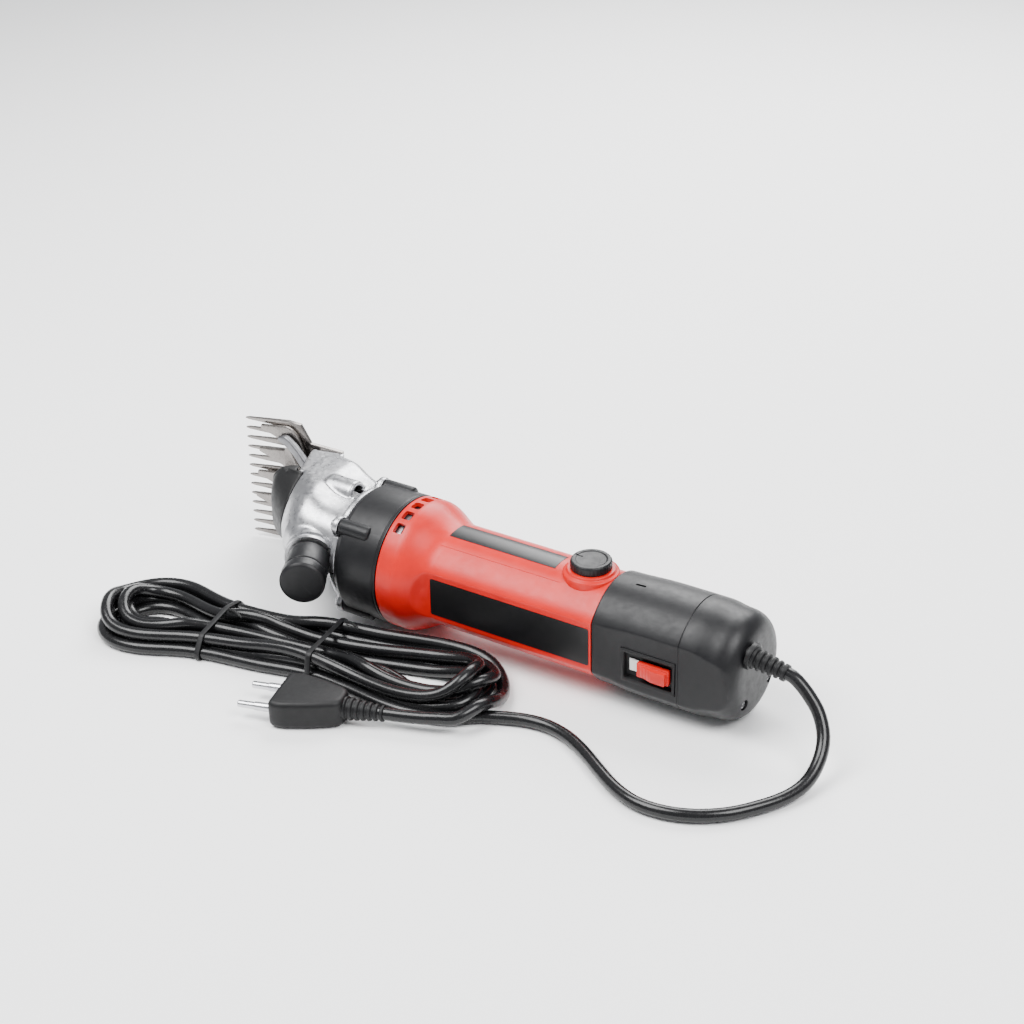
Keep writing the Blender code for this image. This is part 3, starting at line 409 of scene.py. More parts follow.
RED = moulded("red_plastic", (0.56, 0.007, 0.004), 0.36, (0.62, 0.03, 0.02), sheen=0.05)
BLACK = moulded("black_plastic", (0.005, 0.005, 0.006), 0.42, (0.02, 0.02, 0.022), sheen=0.02)
SOFT_BLACK = moulded("soft_black", (0.004, 0.004, 0.0045), 0.5, (0.016, 0.016, 0.017), 0.00008)
LABEL = printed_film("blank_label")
WHITE = moulded("white_plastic", (0.8, 0.8, 0.78), 0.4, (0.9, 0.9, 0.9))
CAST = cast_metal("die_cast")
BLADE = ground_steel("blade_steel", (0.22, 0.205, 0.195), 0.28)
FORGED = ground_steel("forged_steel", (0.20, 0.20, 0.21), 0.4, (1, 1, 1), 500)
BRIGHT = ground_steel("bright_steel", (0.58, 0.58, 0.60), 0.22, (1, 6, 1), 1400)
PLAIN = ground_steel("plain_steel", (0.42, 0.42, 0.43), 0.35, (1, 1, 1))
CABLE = cable_jacket("cable_black")
COPPER = banded("copper", (0.72, 0.32, 0.15), (0.35, 0.12, 0.05), 0.35, 0.9, 420, "Y")
LAMINATIONS = banded("laminations", (0.3, 0.3, 0.31), (0.08, 0.08, 0.085), 0.45, 0.9, 320)
CARBON = moulded("carbon", (0.03, 0.03, 0.03), 0.6, (0.1, 0.1, 0.1))
BOARD = circuit_board("board_green")

# ---- cord

CORD_R = 3.5
TIE_R = CORD_R + 0.25  # a tie lies this far from a strand's centre
REST_HEIGHT = 3.65  # height of a strand's centre on the floor
STRAND = 2 * CORD_R + 0.15  # distance between two strands that touch
RELIEF_START = Vector((214.5, -10, 14.5))
RELIEF_END = Vector((234.5, -10.5, 11))
HANK = Matrix.Translation((-67.7, -60.4, 0)) @ Matrix.Rotation(radians(7), 4, "Z")
TIE_STATIONS = (-50, 18)
LAYERS = (3.8, 11.0, 18.2)
FOLD_LEFT, FOLD_RIGHT = -94, 95  # stations where the legs end and the folds begin
PLUG = Matrix.Translation((-8.3, -100.5, 0)) @ Matrix.Rotation(radians(15), 4, "Z")
PLUG_AXIS = 8.3
TIGHTEST_BEND = 25  # the settling works towards this radius, and doesn't reach it everywhere
SETTLING, EASING = 260, 60  # rounds of settling, and how many of the last ones have no pull
HANK_HALF_WIDTH = 34
LEAVES_AT = -37  # how far across the hank its last turn leaves for the plug
ROUTE = (
    (210, -8, 35.5), (220, -12.5, 27.5), (226.5, -20, 18), (228.5, -31, 10), (227.5, -43, 5.5),
    (223, -55.5, 4), (215.5, -68, 3.8), (206, -79.5, 3.8), (193.5, -88.5, 3.8), (178.5, -93.5, 3.8),
    (163, -93.5, 3.8), (148, -88, 3.8), (133.5, -79, 3.8), (119.5, -69.5, 3.8), (105, -61.5, 3.8),
    (90.5, -57.5, 3.8), (76, -58.5, 3.8), (60.5, -64.3, 3.8), (47, -70.6, 3.8),
)
PLUG_LEAD = ((51, -81, 9.5), (42.5, -85.2, 9), (33, -88.8, 8.5), (24, -91.7, 8.3), (14.5, -94.4, 8.3))


def on_hank(station, across, height):
    return HANK @ Vector((station, across, height))


def legs(waist, left, right, side, height, leftwards):
    """The points of one leg of a turn, narrow at the ties and spread towards the folds."""
    points = []
    for station in (95, 76, 56, 36, 18, 0, -16, -34, -50, -66, -80, -94):
        to_right = min(max((station - 22) / 64, 0), 1)
        to_left = min(max((-52 - station) / 40, 0), 1)
        width = waist + (right - waist) * sin(to_right * pi / 2) ** 2
        width += (left - waist) * sin(to_left * pi / 2) ** 2
        jitter = random.uniform(-0.8, 0.8)
        points.append(on_hank(station, side * width + jitter, height + random.uniform(0, 0.6)))
    return points if leftwards else points[::-1]


def fold(centre, start, end, direction, low, high):
    """The bend between two legs, from one side of the hank to the other."""
    radius, middle = abs(start - end) / 2, (start + end) / 2
    sign = 1 if start > end else -1
    points = []
    for i in range(1, 8):
        angle = pi * i / 8
        across = middle + sign * radius * cos(angle)
        station = centre + direction * radius * sin(angle)
        points.append(on_hank(station, across, low + (high - low) * i / 8))
    return points


def hank_points():
    """The six turns of the hank, in three layers of an outer and an inner turn."""
    outer = (14.5, 31.0, 28.2, 22.5)  # half width at the waist, the left fold, right near, right far
    inner = (5.2, 22.0, 21.0, 15.5)
    order = [outer, inner, inner, outer, inner, outer]
    heights = [LAYERS[i // 2] for i in range(6)]
    points = []
    for i, (waist, left, near, far) in enumerate(order):
        height = heights[i]
        points += legs(waist, left, near, -1, height, True)
        points += fold(FOLD_LEFT, -left, left, -1, height, height)
        points += legs(waist, left, far, 1, height, False)
        if i < 5:
            following = order[i + 1]
            points += fold(FOLD_RIGHT + 3 * (i % 2), far, -following[2], 1, height, heights[i + 1])
        else:
            points += fold(FOLD_RIGHT + 3, far, LEAVES_AT, 1, height, PLUG_LEAD[0][2])[:-1]
    return points


def evenly(points, spacing):
    """The points of a smooth curve through these ones, read at an even spacing."""
    points = [Vector(p) for p in points]
    ends = [points[0] * 2 - points[1]] + points + [points[-1] * 2 - points[-2]]
    fine = []
    for a, b, c, d in zip(ends, ends[1:], ends[2:], ends[3:]):
        fine += interpolate_bezier(b, b + (c - a) / 6, c - (d - b) / 6, c, 16)[:-1]
    fine.append(points[-1])
    line = np.array(fine)
    travelled = np.concatenate([[0], np.cumsum(np.linalg.norm(np.diff(line, axis=0), axis=1))])
    count = max(int(round(travelled[-1] / spacing)), 2)
    wanted = np.linspace(0, travelled[-1], count + 1)
    return np.stack([np.interp(wanted, travelled, line[:, k]) for k in range(3)], axis=1)


def placed(matrix, line):
    """These rows of points, moved by the matrix."""
    matrix = np.array(matrix)
    return line @ matrix[:3, :3].T + matrix[:3, 3]


def clear_of_tool(line):
    """Moves points out of the handle and its flange."""
    local = placed(TOOL.inverted(), line)
    radius = np.where(local[:, 0] < 14, 37.0, 30.4) + CORD_R + 0.3
    radius[local[:, 0] < -36] = 0
    away = np.hypot(local[:, 1], local[:, 2])
    push = np.maximum(radius / np.maximum(away, 1) - 1, 0)[:, None]
    local[:, 1:] += local[:, 1:] * push
    return placed(TOOL, local)


def unbent(line):
    """Straightens the line a little wherever it bends tighter than the cord can."""
    bow = line[1:-1] - (line[:-2] + line[2:]) / 2
    size = np.linalg.norm(bow, axis=1)
    most = (2 * CORD_R) ** 2 / (2 * TIGHTEST_BEND)
    excess = bow * (np.maximum(size - most, 0) / np.maximum(size, 0.001))[:, None]
    line = line.copy()
    line[1:-1] -= 0.5 * excess
    line[:-2] += 0.25 * excess
    line[2:] += 0.25 * excess
    return line


def settled(line, held_start, held_end):
    """Lets the strands rest on the floor and on each other, a diameter apart."""
    home, line = line.copy(), line.copy()
    count = len(line)
    held = np.zeros(count, bool)
    held[:held_start] = True
    held[count - held_end:] = True
    near = np.abs(np.subtract.outer(np.arange(count), np.arange(count))) < 5
    for step in range(SETTLING):
        easing = step > SETTLING - EASING
        if not easing:
            line[:, 2] -= 0.12
            line += 0.03 * (home - line) * (1, 1, 0)
        middle = (line[:-2] + line[2:]) / 2
        line[1:-1] += (0.04 if easing else 0.12) * (middle - line[1:-1])
        gap = line[:, None, :] - line[None, :, :]
        distance = np.linalg.norm(gap, axis=2)
        short = np.where(near, 0, np.maximum(STRAND - distance, 0))
        push = gap / np.maximum(distance, 0.01)[:, :, None] * short[:, :, None]
        line += np.clip(0.42 * push.sum(axis=1), -1.5, 1.5)
        for _ in range(4):
            line = unbent(line)
        line[:, 2] = np.maximum(line[:, 2], REST_HEIGHT)
        line = clear_of_tool(line)
        line[held] = home[held]
    return line


def make_cord():
    start, direction = TOOL @ RELIEF_END, (TOOL @ RELIEF_END - TOOL @ RELIEF_START).normalized()
    points = [start - direction * 4, start + direction * 3] + [Vector(p) for p in ROUTE]
    lead = len(evenly(points, 2 * CORD_R))
    neck = PLUG @ Vector((18, 0, PLUG_AXIS))
    tail = [Vector(p) for p in PLUG_LEAD] + [neck]
    line = evenly(points + hank_points() + tail, 2 * CORD_R)
    line = settled(line, lead - 1, 9)
    curve = bpy.data.curves.new("mains_cord", "CURVE")
    curve.dimensions = "3D"
    curve.bevel_depth = CORD_R * MM
    curve.bevel_resolution = 5
    curve.use_fill_caps = True
    spline = curve.splines.new("POLY")
    fine = evenly(line, CORD_R)
    spline.points.add(len(fine) - 1)
    for point, place in zip(spline.points, fine):
        point.co = (*(place * MM), 1)
    spline.use_smooth = True
    length = float(np.linalg.norm(np.diff(fine, axis=0), axis=1).sum()) * MM
    cord = link(bpy.data.objects.new("mains_cord", curve))
    piece(cord, "tool", CABLE, ("power_cord", "cord_hank", "plug_lead"))
    return cord, line, length


def hull(points):
    """The convex outline round these (x, y) points."""
    points = sorted(set(points))
    halves = []
    for ordered in (points, points[::-1]):
        half = []
        for p in ordered:
            while len(half) > 1:
                (ax, ay), (bx, by) = half[-2], half[-1]
                if (bx - ax) * (p[1] - ay) - (by - ay) * (p[0] - ax) > 0:
                    break
                half.pop()
            half.append(p)
        halves += half[:-1]
    return halves


def make_tie(index, station, line):
    """A flat wire tie pulled round the strands at one station, its twisted ends on top."""
    local = placed(HANK.inverted(), line)
    crossing = []
    for a, b in zip(local, local[1:]):
        crosses = (a[0] - station) * (b[0] - station) <= 0 and abs(b[0] - a[0]) > 0.01
        if crosses and abs(a[1]) < HANK_HALF_WIDTH:
            crossing.append(a + (b - a) * (station - a[0]) / (b[0] - a[0]))
    around = [2 * pi * k / 24 for k in range(24)]
    rim = [(c[1] + TIE_R * cos(a), max(c[2] + TIE_R * sin(a), 0.5)) for c in crossing for a in around]
    outline = hull(rim)
    middle = Vector((sum(p[0] for p in outline) / len(outline), sum(p[1] for p in outline) / len(outline)))
    rings = []
    half_width = 1.5
    for y, z in outline:
        out = (Vector((y, z)) - middle).normalized()
        corners = ((-half_width, 0), (half_width, 0), (half_width, 0.7), (0, 1.1), (-half_width, 0.7))
        rings.append([(station + dx, y + out.x * d, max(z + out.y * d, 0.1)) for dx, d in corners])
    band = solid(f"wire_tie_{index}", skin(rings, loop=True), HANK)
    top = max(outline, key=lambda p: p[1])
    knot = []
    for k in range(40):
        t = k / 39
        turn = 2 * pi * 2.5 * t
        spread = 0.9 * (1 - 0.3 * t)
        centre = Vector((station + 3 + 12 * t, top[0] - 2 - 5 * t, top[1] + 1.3 + 1.2 * sin(pi * t)))
        flat = (Vector((0, cos(turn), sin(turn))), Vector((0, -sin(turn), cos(turn))))
        knot.append([centre + flat[0] * spread * u + flat[1] * 0.45 * v
                     for u, v in ((1, 1), (-1, 1), (-1, -1), (1, -1))])
    ends = solid(f"tie_ends_{index}", skin(knot), HANK)
    combined(band, [ends], "UNION")
    piece(band, "tool", SOFT_BLACK, (f"cord_tie_{index}",))
    return band


def rib(x, radius, rise):
    """One rib of a cord sleeve and the groove behind it, as points of a turned profile."""
    groove, end = x + rise, x + 2 * rise + 1
    return [(x, radius), (groove, radius - 1.1), (groove + 1, radius - 1.2), (end, radius - 0.1)]


def make_plug():
    outline = [(2, -7.5), (2, 7.5), (-13, 13), (-29, 16.8), (-36, 15.5)]
    outline += [(-36, -15.5), (-29, -16.8), (-13, -13)]
    body = solid("plug_moulding", prism(softened(outline, 5, 5), 0.4, 16.2), PLUG)
    bevelled(body, 3.4, 5)
    profile = [(-4, 0), (-4, 6.6)]
    for k in range(6):
        profile += rib(2.5 + 3.4 * k, 6.3 - 0.36 * k, 0.5)
    profile += [(23, 4.5), (23, 0)]
    neck_place = PLUG @ along((0, 0, PLUG_AXIS), (1, 0, PLUG_AXIS))
    neck = solid("plug_neck", lathe(softened(profile, 0.4, 2, False), 40), neck_place)
    combined(body, [neck], "UNION")
    grips = []
    for side in (-1, 1):
        for k in range(4):
            x = -12 - 4 * k
            y = side * (15.6 + 0.9 * k)
            grips.append(rod(f"grip_{side}_{k}", (x, y, 3), (x, y, 13.5), 1.6, 16, PLUG))
    combined(body, grips)
    piece(body, "tool", SOFT_BLACK, ("plug_body",))
    pins = []
    for i, side in enumerate((-1, 1)):
        profile = softened([(0, 0), (0, 2.35), (9, 2.35), (9, 1.95), (18.7, 1.95), (18.7, 0)], 1.2, 4, False)
        start = (-36.3, side * 9.5, PLUG_AXIS)
        place = PLUG @ along(start, (-60, side * 9.5, PLUG_AXIS))
        pin = solid(f"mains_pin_{i + 1}", lathe(profile, 32), place)
        pins.append(piece(pin, "tool", BRIGHT, (f"plug_pin_{i + 1}",)))
    return [body] + pins


def make_relief():
    """The ribbed sleeve that keeps the cord from kinking where it leaves the tail."""
    length = (RELIEF_END - RELIEF_START).length
    profile = [(-7.5, 0), (-7.5, 4.1), (-1.2, 4.1), (-1.2, 7.3), (1.5, 7.3), (1.6, 6.1)]
    for k in range(5):
        x = 3.0 + 3.3 * k
        profile += rib(x, 6.2 - 0.09 * x, 0.4)
    profile += [(length, 4.5), (length, 0)]
    place = TOOL @ along(RELIEF_START, RELIEF_END)
    relief = solid("cord_sleeve", lathe(softened(profile, 0.4, 2, False), 48), place)
    return piece(relief, "tool", SOFT_BLACK, ("strain_relief",))


cord, cord_line, cord_length = make_cord()
ties = [make_tie(i + 1, station, cord_line) for i, station in enumerate(TIE_STATIONS)]
plug_pieces = make_plug()
relief = make_relief()

# ---- handle and housings

FLANGE_R, HANDLE_R, WALL = 36.8, 28.4, 2.5
FLAT = 26.2  # distance of the flat along the top from the tool's axis
HANDLE_END, TAIL_END = 130, 213
PARTING_ANGLE = 60.7
DIAL_X = 114.5


def stations(*spans):
    """Stations read along spans of (start, end, step), without repeats."""
    found = set()
    for start, end, step in spans:
        count = max(int(round((end - start) / step)), 1)
        found |= {round(start + (end - start) * i / count, 3) for i in range(count + 1)}
    return sorted(found)


# close together round the edges of the flat and at the parting line
RING_ANGLES = stations(
    (-180, -68, 4), (-66, -40, 2), (-39, -35, 1), (-34.5, -23, 0.5), (-22, 22, 4), (23, 34.5, 0.5),
    (35, 39, 1), (40, 58, 2), (60.2, 60.5, 0.3), (60.9, 61.2, 0.3), (62, 66, 2), (68, 176, 4),
)


def polar(radius, angle):
    """(y, z) at this angle in degrees from the tool's top, towards its right."""
    return -radius * cos(radians(angle)), radius * sin(radians(angle))


def s_curve(value, low, high):
    t = min(max((value - low) / (high - low), 0), 1)
    return t * t * (3 - 2 * t)


def lesser(a, b, blend):
    """The smaller of two numbers, with the corner where they meet rounded off."""
    near = max(blend - abs(a - b), 0) / blend
    return min(a, b) - near * near * blend / 4


def handle_section(x, radius, flat, swell, groove=0.0):
    """A ring of the handle: round, with a swell beside the flat and a fine parting line."""
    ring = []
    for angle in RING_ANGLES:
        r = radius + swell * (1 - s_curve(abs(angle), 28, 60))
        if abs(angle) < 70:
            r = lesser(r, flat / cos(radians(angle)), 0.35)
        if groove and abs(abs(angle) - PARTING_ANGLE) < 0.3:
            r -= groove
        y, z = polar(r, angle)
        ring.append((x, y, z))
    return ring


def turned_tool(name, profile, steps=96, loop=False):
    """A shape turned about the tool's axis, at (station, radius) points."""
    place = TOOL @ Matrix.Rotation(pi / 2, 4, "Y")
    return solid(name, lathe(profile, steps, loop), place)


def radial(x, angle):
    """The placement at the tool's axis whose Z points out at this angle from the top."""
    out = Matrix.Rotation(-radians(angle), 4, "X") @ Matrix.Rotation(pi / 2, 4, "X")
    return TOOL @ Matrix.Translation((x, 0, 0)) @ out


def make_handle():
    rings = []
    flange = stations((0.15, 1.2, 0.35), (1.2, 9, 2.6), (9, 33, 0.8))
    grip = stations((33, 103, 7), (103, 105, 0.5), (105, 129.85, 5))
    for x in flange + grip[1:]:
        radius = FLANGE_R + (HANDLE_R - FLANGE_R) * s_curve(x, 9, 31)
        radius -= 0.7 * (1 - s_curve(x, 0.15, 1.2)) ** 2
        flat = FLAT + 0.075 * max(29.5 - x, 0) ** 2
        groove = 0.24 if 29 < x < 104 else 0
        rings.append(handle_section(x, radius, flat, 1.3 * s_curve(x, 16, 34), groove))
    for x in (129.85, 33, 24, 12, 0.15):
        radius = FLANGE_R - WALL + (HANDLE_R - FLANGE_R) * s_curve(x, 12, 31)
        rings.append(handle_section(x, radius, FLAT - WALL + 0.2 * max(33 - x, 0) ** 2, 0))
    shell = solid("handle_moulding", skin(rings, loop=True))
    boss = softened([(24, 0), (24, 15), (28.6, 15), (29.4, 13.0), (30.6, 12.8), (30.6, 0)], 0.7, 4, False)
    dial_boss = solid("dial_boss", lathe(boss, 72), TOOL @ Matrix.Translation((DIAL_X, 0, 0)))
    combined(shell, [dial_boss], "UNION")
    hole = rod("dial_hole", (DIAL_X, 0, 15), (DIAL_X, 0, 40), 3.6)
    vents = []
    for side in (1, -1):
        for i in range(6):
            outline = softened(rectangle(-2.9, 2.9, -3.1, 3.1), 1.3, 4)
            place = radial(5.9, side * (58 + 14.5 * i))
            vents.append(solid(f"vent_{side}_{i}", prism(outline, 28, 46), place))
    hollow = turned_tool("hollow", [(40, 0), (40, 25.9), (129, 25.9), (129, 0)], 64)
    combined(hollow, [solid("hollow_flat", box((20, -60, -60), (140, -23.7, 60)))])
    combined(shell, [hole, hollow] + vents)
    piece(shell, "tool", RED, ("handle_shell",), 28)


def make_labels():
    """Blank printed labels: one on the flat, one wrapped on the handle's side."""
    outline = softened(rectangle(29.6, 128.6, -11.3, 10.7), 1.2, 5)
    place = TOOL @ Matrix.Translation((0, -FLAT, 0)) @ Matrix.Rotation(pi / 2, 4, "X")
    flat = solid("blank_label_top", prism([(x, z) for x, z in outline], 0.02, 0.18), place)
    piece(flat, "tool", LABEL)
    rings = []
    steps = 28
    for x in stations((30, 96.5, 6)):
        ring = []
        for radius, order in ((HANDLE_R + 0.17, 1), (HANDLE_R + 0.02, -1)):
            for k in range(steps + 1)[::order]:
                angle = 76 + 27 * k / steps
                y, z = polar(radius, angle)
                ring.append((x, y, z))
        rings.append(ring)
    side = solid("blank_label_side", skin(rings))
    piece(side, "tool", LABEL)


def rear_radius(x):
    """The rear cover swells towards its middle and rounds off at its tail."""
    swell = 30 + 1.2 * s_curve(x, 130, 160) - 1.5 * s_curve(x, 188, 200)
    if x <= 199:
        return swell
    t = min((x - 199) / (TAIL_END - 199), 1)
    return 17 + (29.7 - 17) * (1 - t ** 2.3) ** (1 / 2.3)


def phillips(name, place, size, depth):
    """A cross-shaped recess for a screwdriver."""
    arms = []
    for turn in (0, pi / 2):
        outline = rectangle(-size, size, -0.28 * size, 0.28 * size)
        arms.append(solid(name, prism(outline, -depth, depth), place @ Matrix.Rotation(turn, 4, "Z")))
    return arms


def make_rear_cover():
    rings = []
    rows = stations((130.15, 131.2, 0.35), (131.2, 180.2, 7), (180.2, 181.8, 0.4), (181.8, 199, 3.5))
    rows += stations((199, 211, 1.5))[1:]
    rows += [211.8, 212.4, 212.8, 213]
    for x in rows:
        edge = 0.5 * (1 - s_curve(x, 130.15, 131.2)) ** 2
        seam = 0.3 if abs(x - 181) < 0.3 else 0
        rings.append(handle_section(x, rear_radius(x) - edge - seam, FLAT - edge - seam, 0))
    rings.append([(213, 0, 0)])
    inner = [[(210.4, 0, 0)]]
    for x in (210.3, 206, 199, 180, 150, 130.15):
        radius = min(rear_radius(min(x, 199)) - WALL, 27.4) - (5 if x > 209 else 0)
        inner.append(handle_section(x, radius, FLAT - WALL, 0))
    shell = solid("rear_moulding", skin(inner + rings))
    tools = [solid("switch_opening", box((148, -40, -13), (180, -20, 7)))]
    tools.append(rod("cord_hole", (200, -10, 14.5), (220, -10, 14.5), 4.6))
    slot = prism(softened(rectangle(143, 149, -3.4, -2.0), 0.6, 3), 20, 40)
    tools.append(solid("drain_slot", slot))
    for i, (y, z) in enumerate(((-13, -14), (14, -12))):
        tools.append(rod(f"screw_hole_{i}", (205, y, z), (220, y, z), 3.0))
        seat = (206, y, z)
        profile = softened([(0, 0), (0, 2.6), (5.2, 2.6), (6.2, 1.4), (6.2, 0)], 0.4, 3, False)
        place = TOOL @ along(seat, (220, y, z))
        screw = solid(f"tail_screw_{i + 1}", lathe(profile, 32), place)
        combined(screw, phillips("cross", place @ Matrix.Translation((0, 0, 6.4)), 1.7, 1.3))
        piece(screw, "tool", PLAIN, (f"cover_screw_{i + 1}",))
    combined(shell, tools)
    piece(shell, "tool", BLACK, ("rear_cover",), 28)


EAR_RADIUS, EAR_ANGLES, RING_FRONT = 34.0, (45, 120, -45, -120), -29.0


def make_gearbox_ring():
    profile = [(-0.15, 34), (-0.15, 36.7), (-1.0, 36.7), (-1.6, 36.4), (-2.2, 36.8), (-25.5, 36.6)]
    profile += [(-29, 34.2), (-29, 30.5), (-24, 30.5), (-20, 33.6)]
    ring = turned_tool("gear_housing", softened(profile, 0.5, 3), 120, True)
    posts = []
    for i, angle in enumerate(EAR_ANGLES):
        y, z = polar(EAR_RADIUS, angle)
        outline = softened([(0, 0), (0, 4.9), (18.4, 4.9), (19.4, 3.6), (19.4, 0)], 0.8, 4, False)
        post = solid(f"post_{i}", lathe(outline, 40), TOOL @ along((RING_FRONT, y, z), (0, y, z)))
        posts.append(post)
    combined(ring, posts, "UNION")
    holes = [rod(f"post_hole_{i}", (-32, *polar(EAR_RADIUS, a)), (-15, *polar(EAR_RADIUS, a)), 2.3)
             for i, a in enumerate(EAR_ANGLES)]
    combined(ring, holes)
    piece(ring, "tool", BLACK, ("gearbox_ring",))


# ---- head

TILT = radians(11)
TIP = Vector((-142, 35.5, 0))
ALONG_COMB = Vector((cos(TILT), sin(TILT), 0))
COMB_UP = Vector((sin(TILT), -cos(TILT), 0))
COMB_AXES = Matrix((ALONG_COMB, COMB_UP.cross(ALONG_COMB), COMB_UP)).transposed()
COMB = Matrix.Translation(TIP) @ COMB_AXES.to_4x4()
PIVOT = 88
FORK = COMB @ Matrix.Translation((PIVOT, 0, 0)) @ Matrix.Rotation(-radians(8), 4, "Z")
KNOB_END = Vector((-37, -52.6, 0))
KNOB_AXIS = Vector((sin(radians(28.7)), -cos(radians(28.7)), 0))
KNOB = TOOL @ along(KNOB_END, KNOB_END + KNOB_AXIS)
# x, lowest y, highest y, half width, then the depth, width and squareness of the two upper corners
HEAD_SECTIONS = (
    (-33.2, -22, 28, 22, 18, 18, 2.0),
    (-45, -21.8, 35, 22, 17, 16, 2.0),
    (-56, -21.5, 39, 23.5, 18, 16, 2.0),
    (-65, -21.5, 41.5, 26.6, 22, 19, 1.9),
    (-72, -20.5, 43, 27, 26, 22, 1.7),
    (-77, -18, 43.4, 27, 28, 24, 1.6),
    (-83, -11.5, 42, 27, 25, 25, 1.5),
)
GUARD_SECTIONS = (
    (-83.4, -11, 24, 26.7, 25, 24.7, 1.5),
    (-88, -7.5, 24, 26.5, 22, 24, 1.5),
    (-93, -3.5, 24, 26, 20, 23, 1.6),
    (-98, 0.5, 23.5, 24.8, 17, 21, 1.7),
    (-102, 4, 22.5, 22.8, 13, 18, 1.8),
    (-105, 8, 21.5, 20.5, 9, 14, 1.9),
    (-107, 11.5, 20, 17.5, 6, 9, 2.0),
)
GUARD_HOLLOW = (
    (-80, -8, 46, 24, 24, 23, 1.5),
    (-92, -1, 46, 23.4, 20, 21, 1.6),
    (-102, 7, 46, 19.5, 12, 15, 1.8),
)
LOWER_CORNER = 8


def comb_point(station, height, across=0.0):
    return COMB @ Vector((station, across, height))


def smooth_rows(rows, steps):
    """More rows along smooth curves through these rows of numbers."""
    ends = [rows[0]] + list(rows) + [rows[-1]]
    made = []
    for a, b, c, d in zip(ends, ends[1:], ends[2:], ends[3:]):
        for k in range(steps):
            t = k / steps
            row = []
            for p, q, r, s in zip(a, b, c, d):
                row.append(0.5 * (2 * q + (r - p) * t + (2 * p - 5 * q + 4 * r - s) * t * t
                                  + (3 * q - p - 3 * r + s) * t ** 3))
            made.append(row)
    return made + [list(rows[-1])]


def head_section(x, low, high, half, depth, width, square, steps=13):
    """A ring across the head. Its upper corners fall away, and its lower ones are plainly rounded."""
    ring = []
    for k in range(steps):
        angle = pi / 2 * k / (steps - 1)
        fall = depth * (1 - sin(angle) ** (2 / square))
        ring.append((x, low + fall, half - width * (1 - cos(angle) ** (2 / square))))
    upper = ring + [(x, y, -z) for x, y, z in reversed(ring)]
    lower = []
    for k in range(steps):
        angle = pi / 2 * k / (steps - 1)
        y = high - LOWER_CORNER * (1 - sin(angle))
        lower.append((x, y, -half + LOWER_CORNER * (1 - cos(angle))))
    lower += [(x, y, -z) for x, y, z in reversed(lower)]
    return upper + lower


def loft(rows, wall=0.0):
    """A skin over such rings, set in by a wall. Its corners stop short of the middle plane."""
    rings = []
    for x, low, high, half, depth, width, square in smooth_rows(rows, 3):
        inner = half - wall
        rings.append(head_section(x, low + wall, high - wall, inner, depth, min(width, inner - 2), square))
    return skin(rings)


def make_casting():
    back = RING_FRONT - 4.3
    shell = solid("head_shell", loft(HEAD_SECTIONS))
    parts = [solid("flange_plate", lathe([(0, 14), (0, 33.5), (4, 33.5), (4, 14)], 96, True),
                   TOOL @ along((back, 0, 0), (0, 0, 0)))]
    for i, angle in enumerate(EAR_ANGLES):
        spot = polar(EAR_RADIUS, angle)
        parts.append(rod(f"ear_{i}", (back, *spot), (RING_FRONT - 0.3, *spot), 5.6))
    boss = [(-46, 0), (-46, 18.5), (-42, 15.8), (-38, 14.2), (-34.6, 13.4), (-32, 12.8), (-32, 0)]
    parts.append(solid("knob_boss", lathe(boss, 64), KNOB))
    parts.append(solid("comb_bed", box((47.5, -25, 2.9), (64, 25, 8)), TOOL @ COMB))
    tongue = [(-76, 12.5), (-87, 12.5), (-91, 24), (-95, 33), (-96, 38), (-78, 38)]
    parts.append(solid("tongue", prism(tongue, 23.9, 26.9)))
    profile = softened([(0, 0), (0, 8), (19, 8), (19, 0)], 1.5, 4, False)
    parts.append(solid("screw_pocket", lathe(profile, 48), TOOL @ along((-66, 14, 21), (-47, 14, 21))))
    merged(shell, parts)
    recast(shell, 0.75, 2)
    first, last = HEAD_SECTIONS[0], HEAD_SECTIONS[-1]
    rows = [(first[0] + 12, *first[1:]), *HEAD_SECTIONS, (last[0] - 14, *last[1:])]
    tools = [solid("hollow", loft(rows, 3.0))]
    tools.append(rod("pin_bore", KNOB_END - KNOB_AXIS * 62, KNOB_END - KNOB_AXIS * 20, 4.5))
    tools.append(rod("pocket_hole", (-56, 14, 22), (-40, 14, 22), 4.4))
    tools.append(rod("post_bore", comb_point(PIVOT, 0), comb_point(PIVOT, 22), 4.4))
    for i, angle in enumerate(EAR_ANGLES):
        spot = polar(EAR_RADIUS, angle)
        tools.append(rod(f"ear_hole_{i}", (back - 9, *spot), (-20, *spot), 2.5))
        tools.append(rod(f"ear_seat_{i}", (back - 12, *spot), (back + 0.1, *spot), 4.6))
    for side in (-1, 1):
        start, end = comb_point(54, -4, side * 14), comb_point(54, 12, side * 14)
        tools.append(rod(f"thread_{side}", start, end, 2.3))
    combined(shell, tools)
    recast(shell, 0.6, 5)
    piece(shell, "tool", CAST, ("head_casting",), 60)
    rings = [(-35.5, 8), (-35.5, 13.6), (-34.6, 14.4), (-32.4, 14.4), (-31.8, 13.2), (-30.2, 13.2)]
    rings += [(-29.8, 13.9), (-27.4, 13.9), (-27.4, 8)]
    collar = solid("knob_collar", lathe(rings, 96, True), KNOB)
    piece(collar, "tool", CAST)


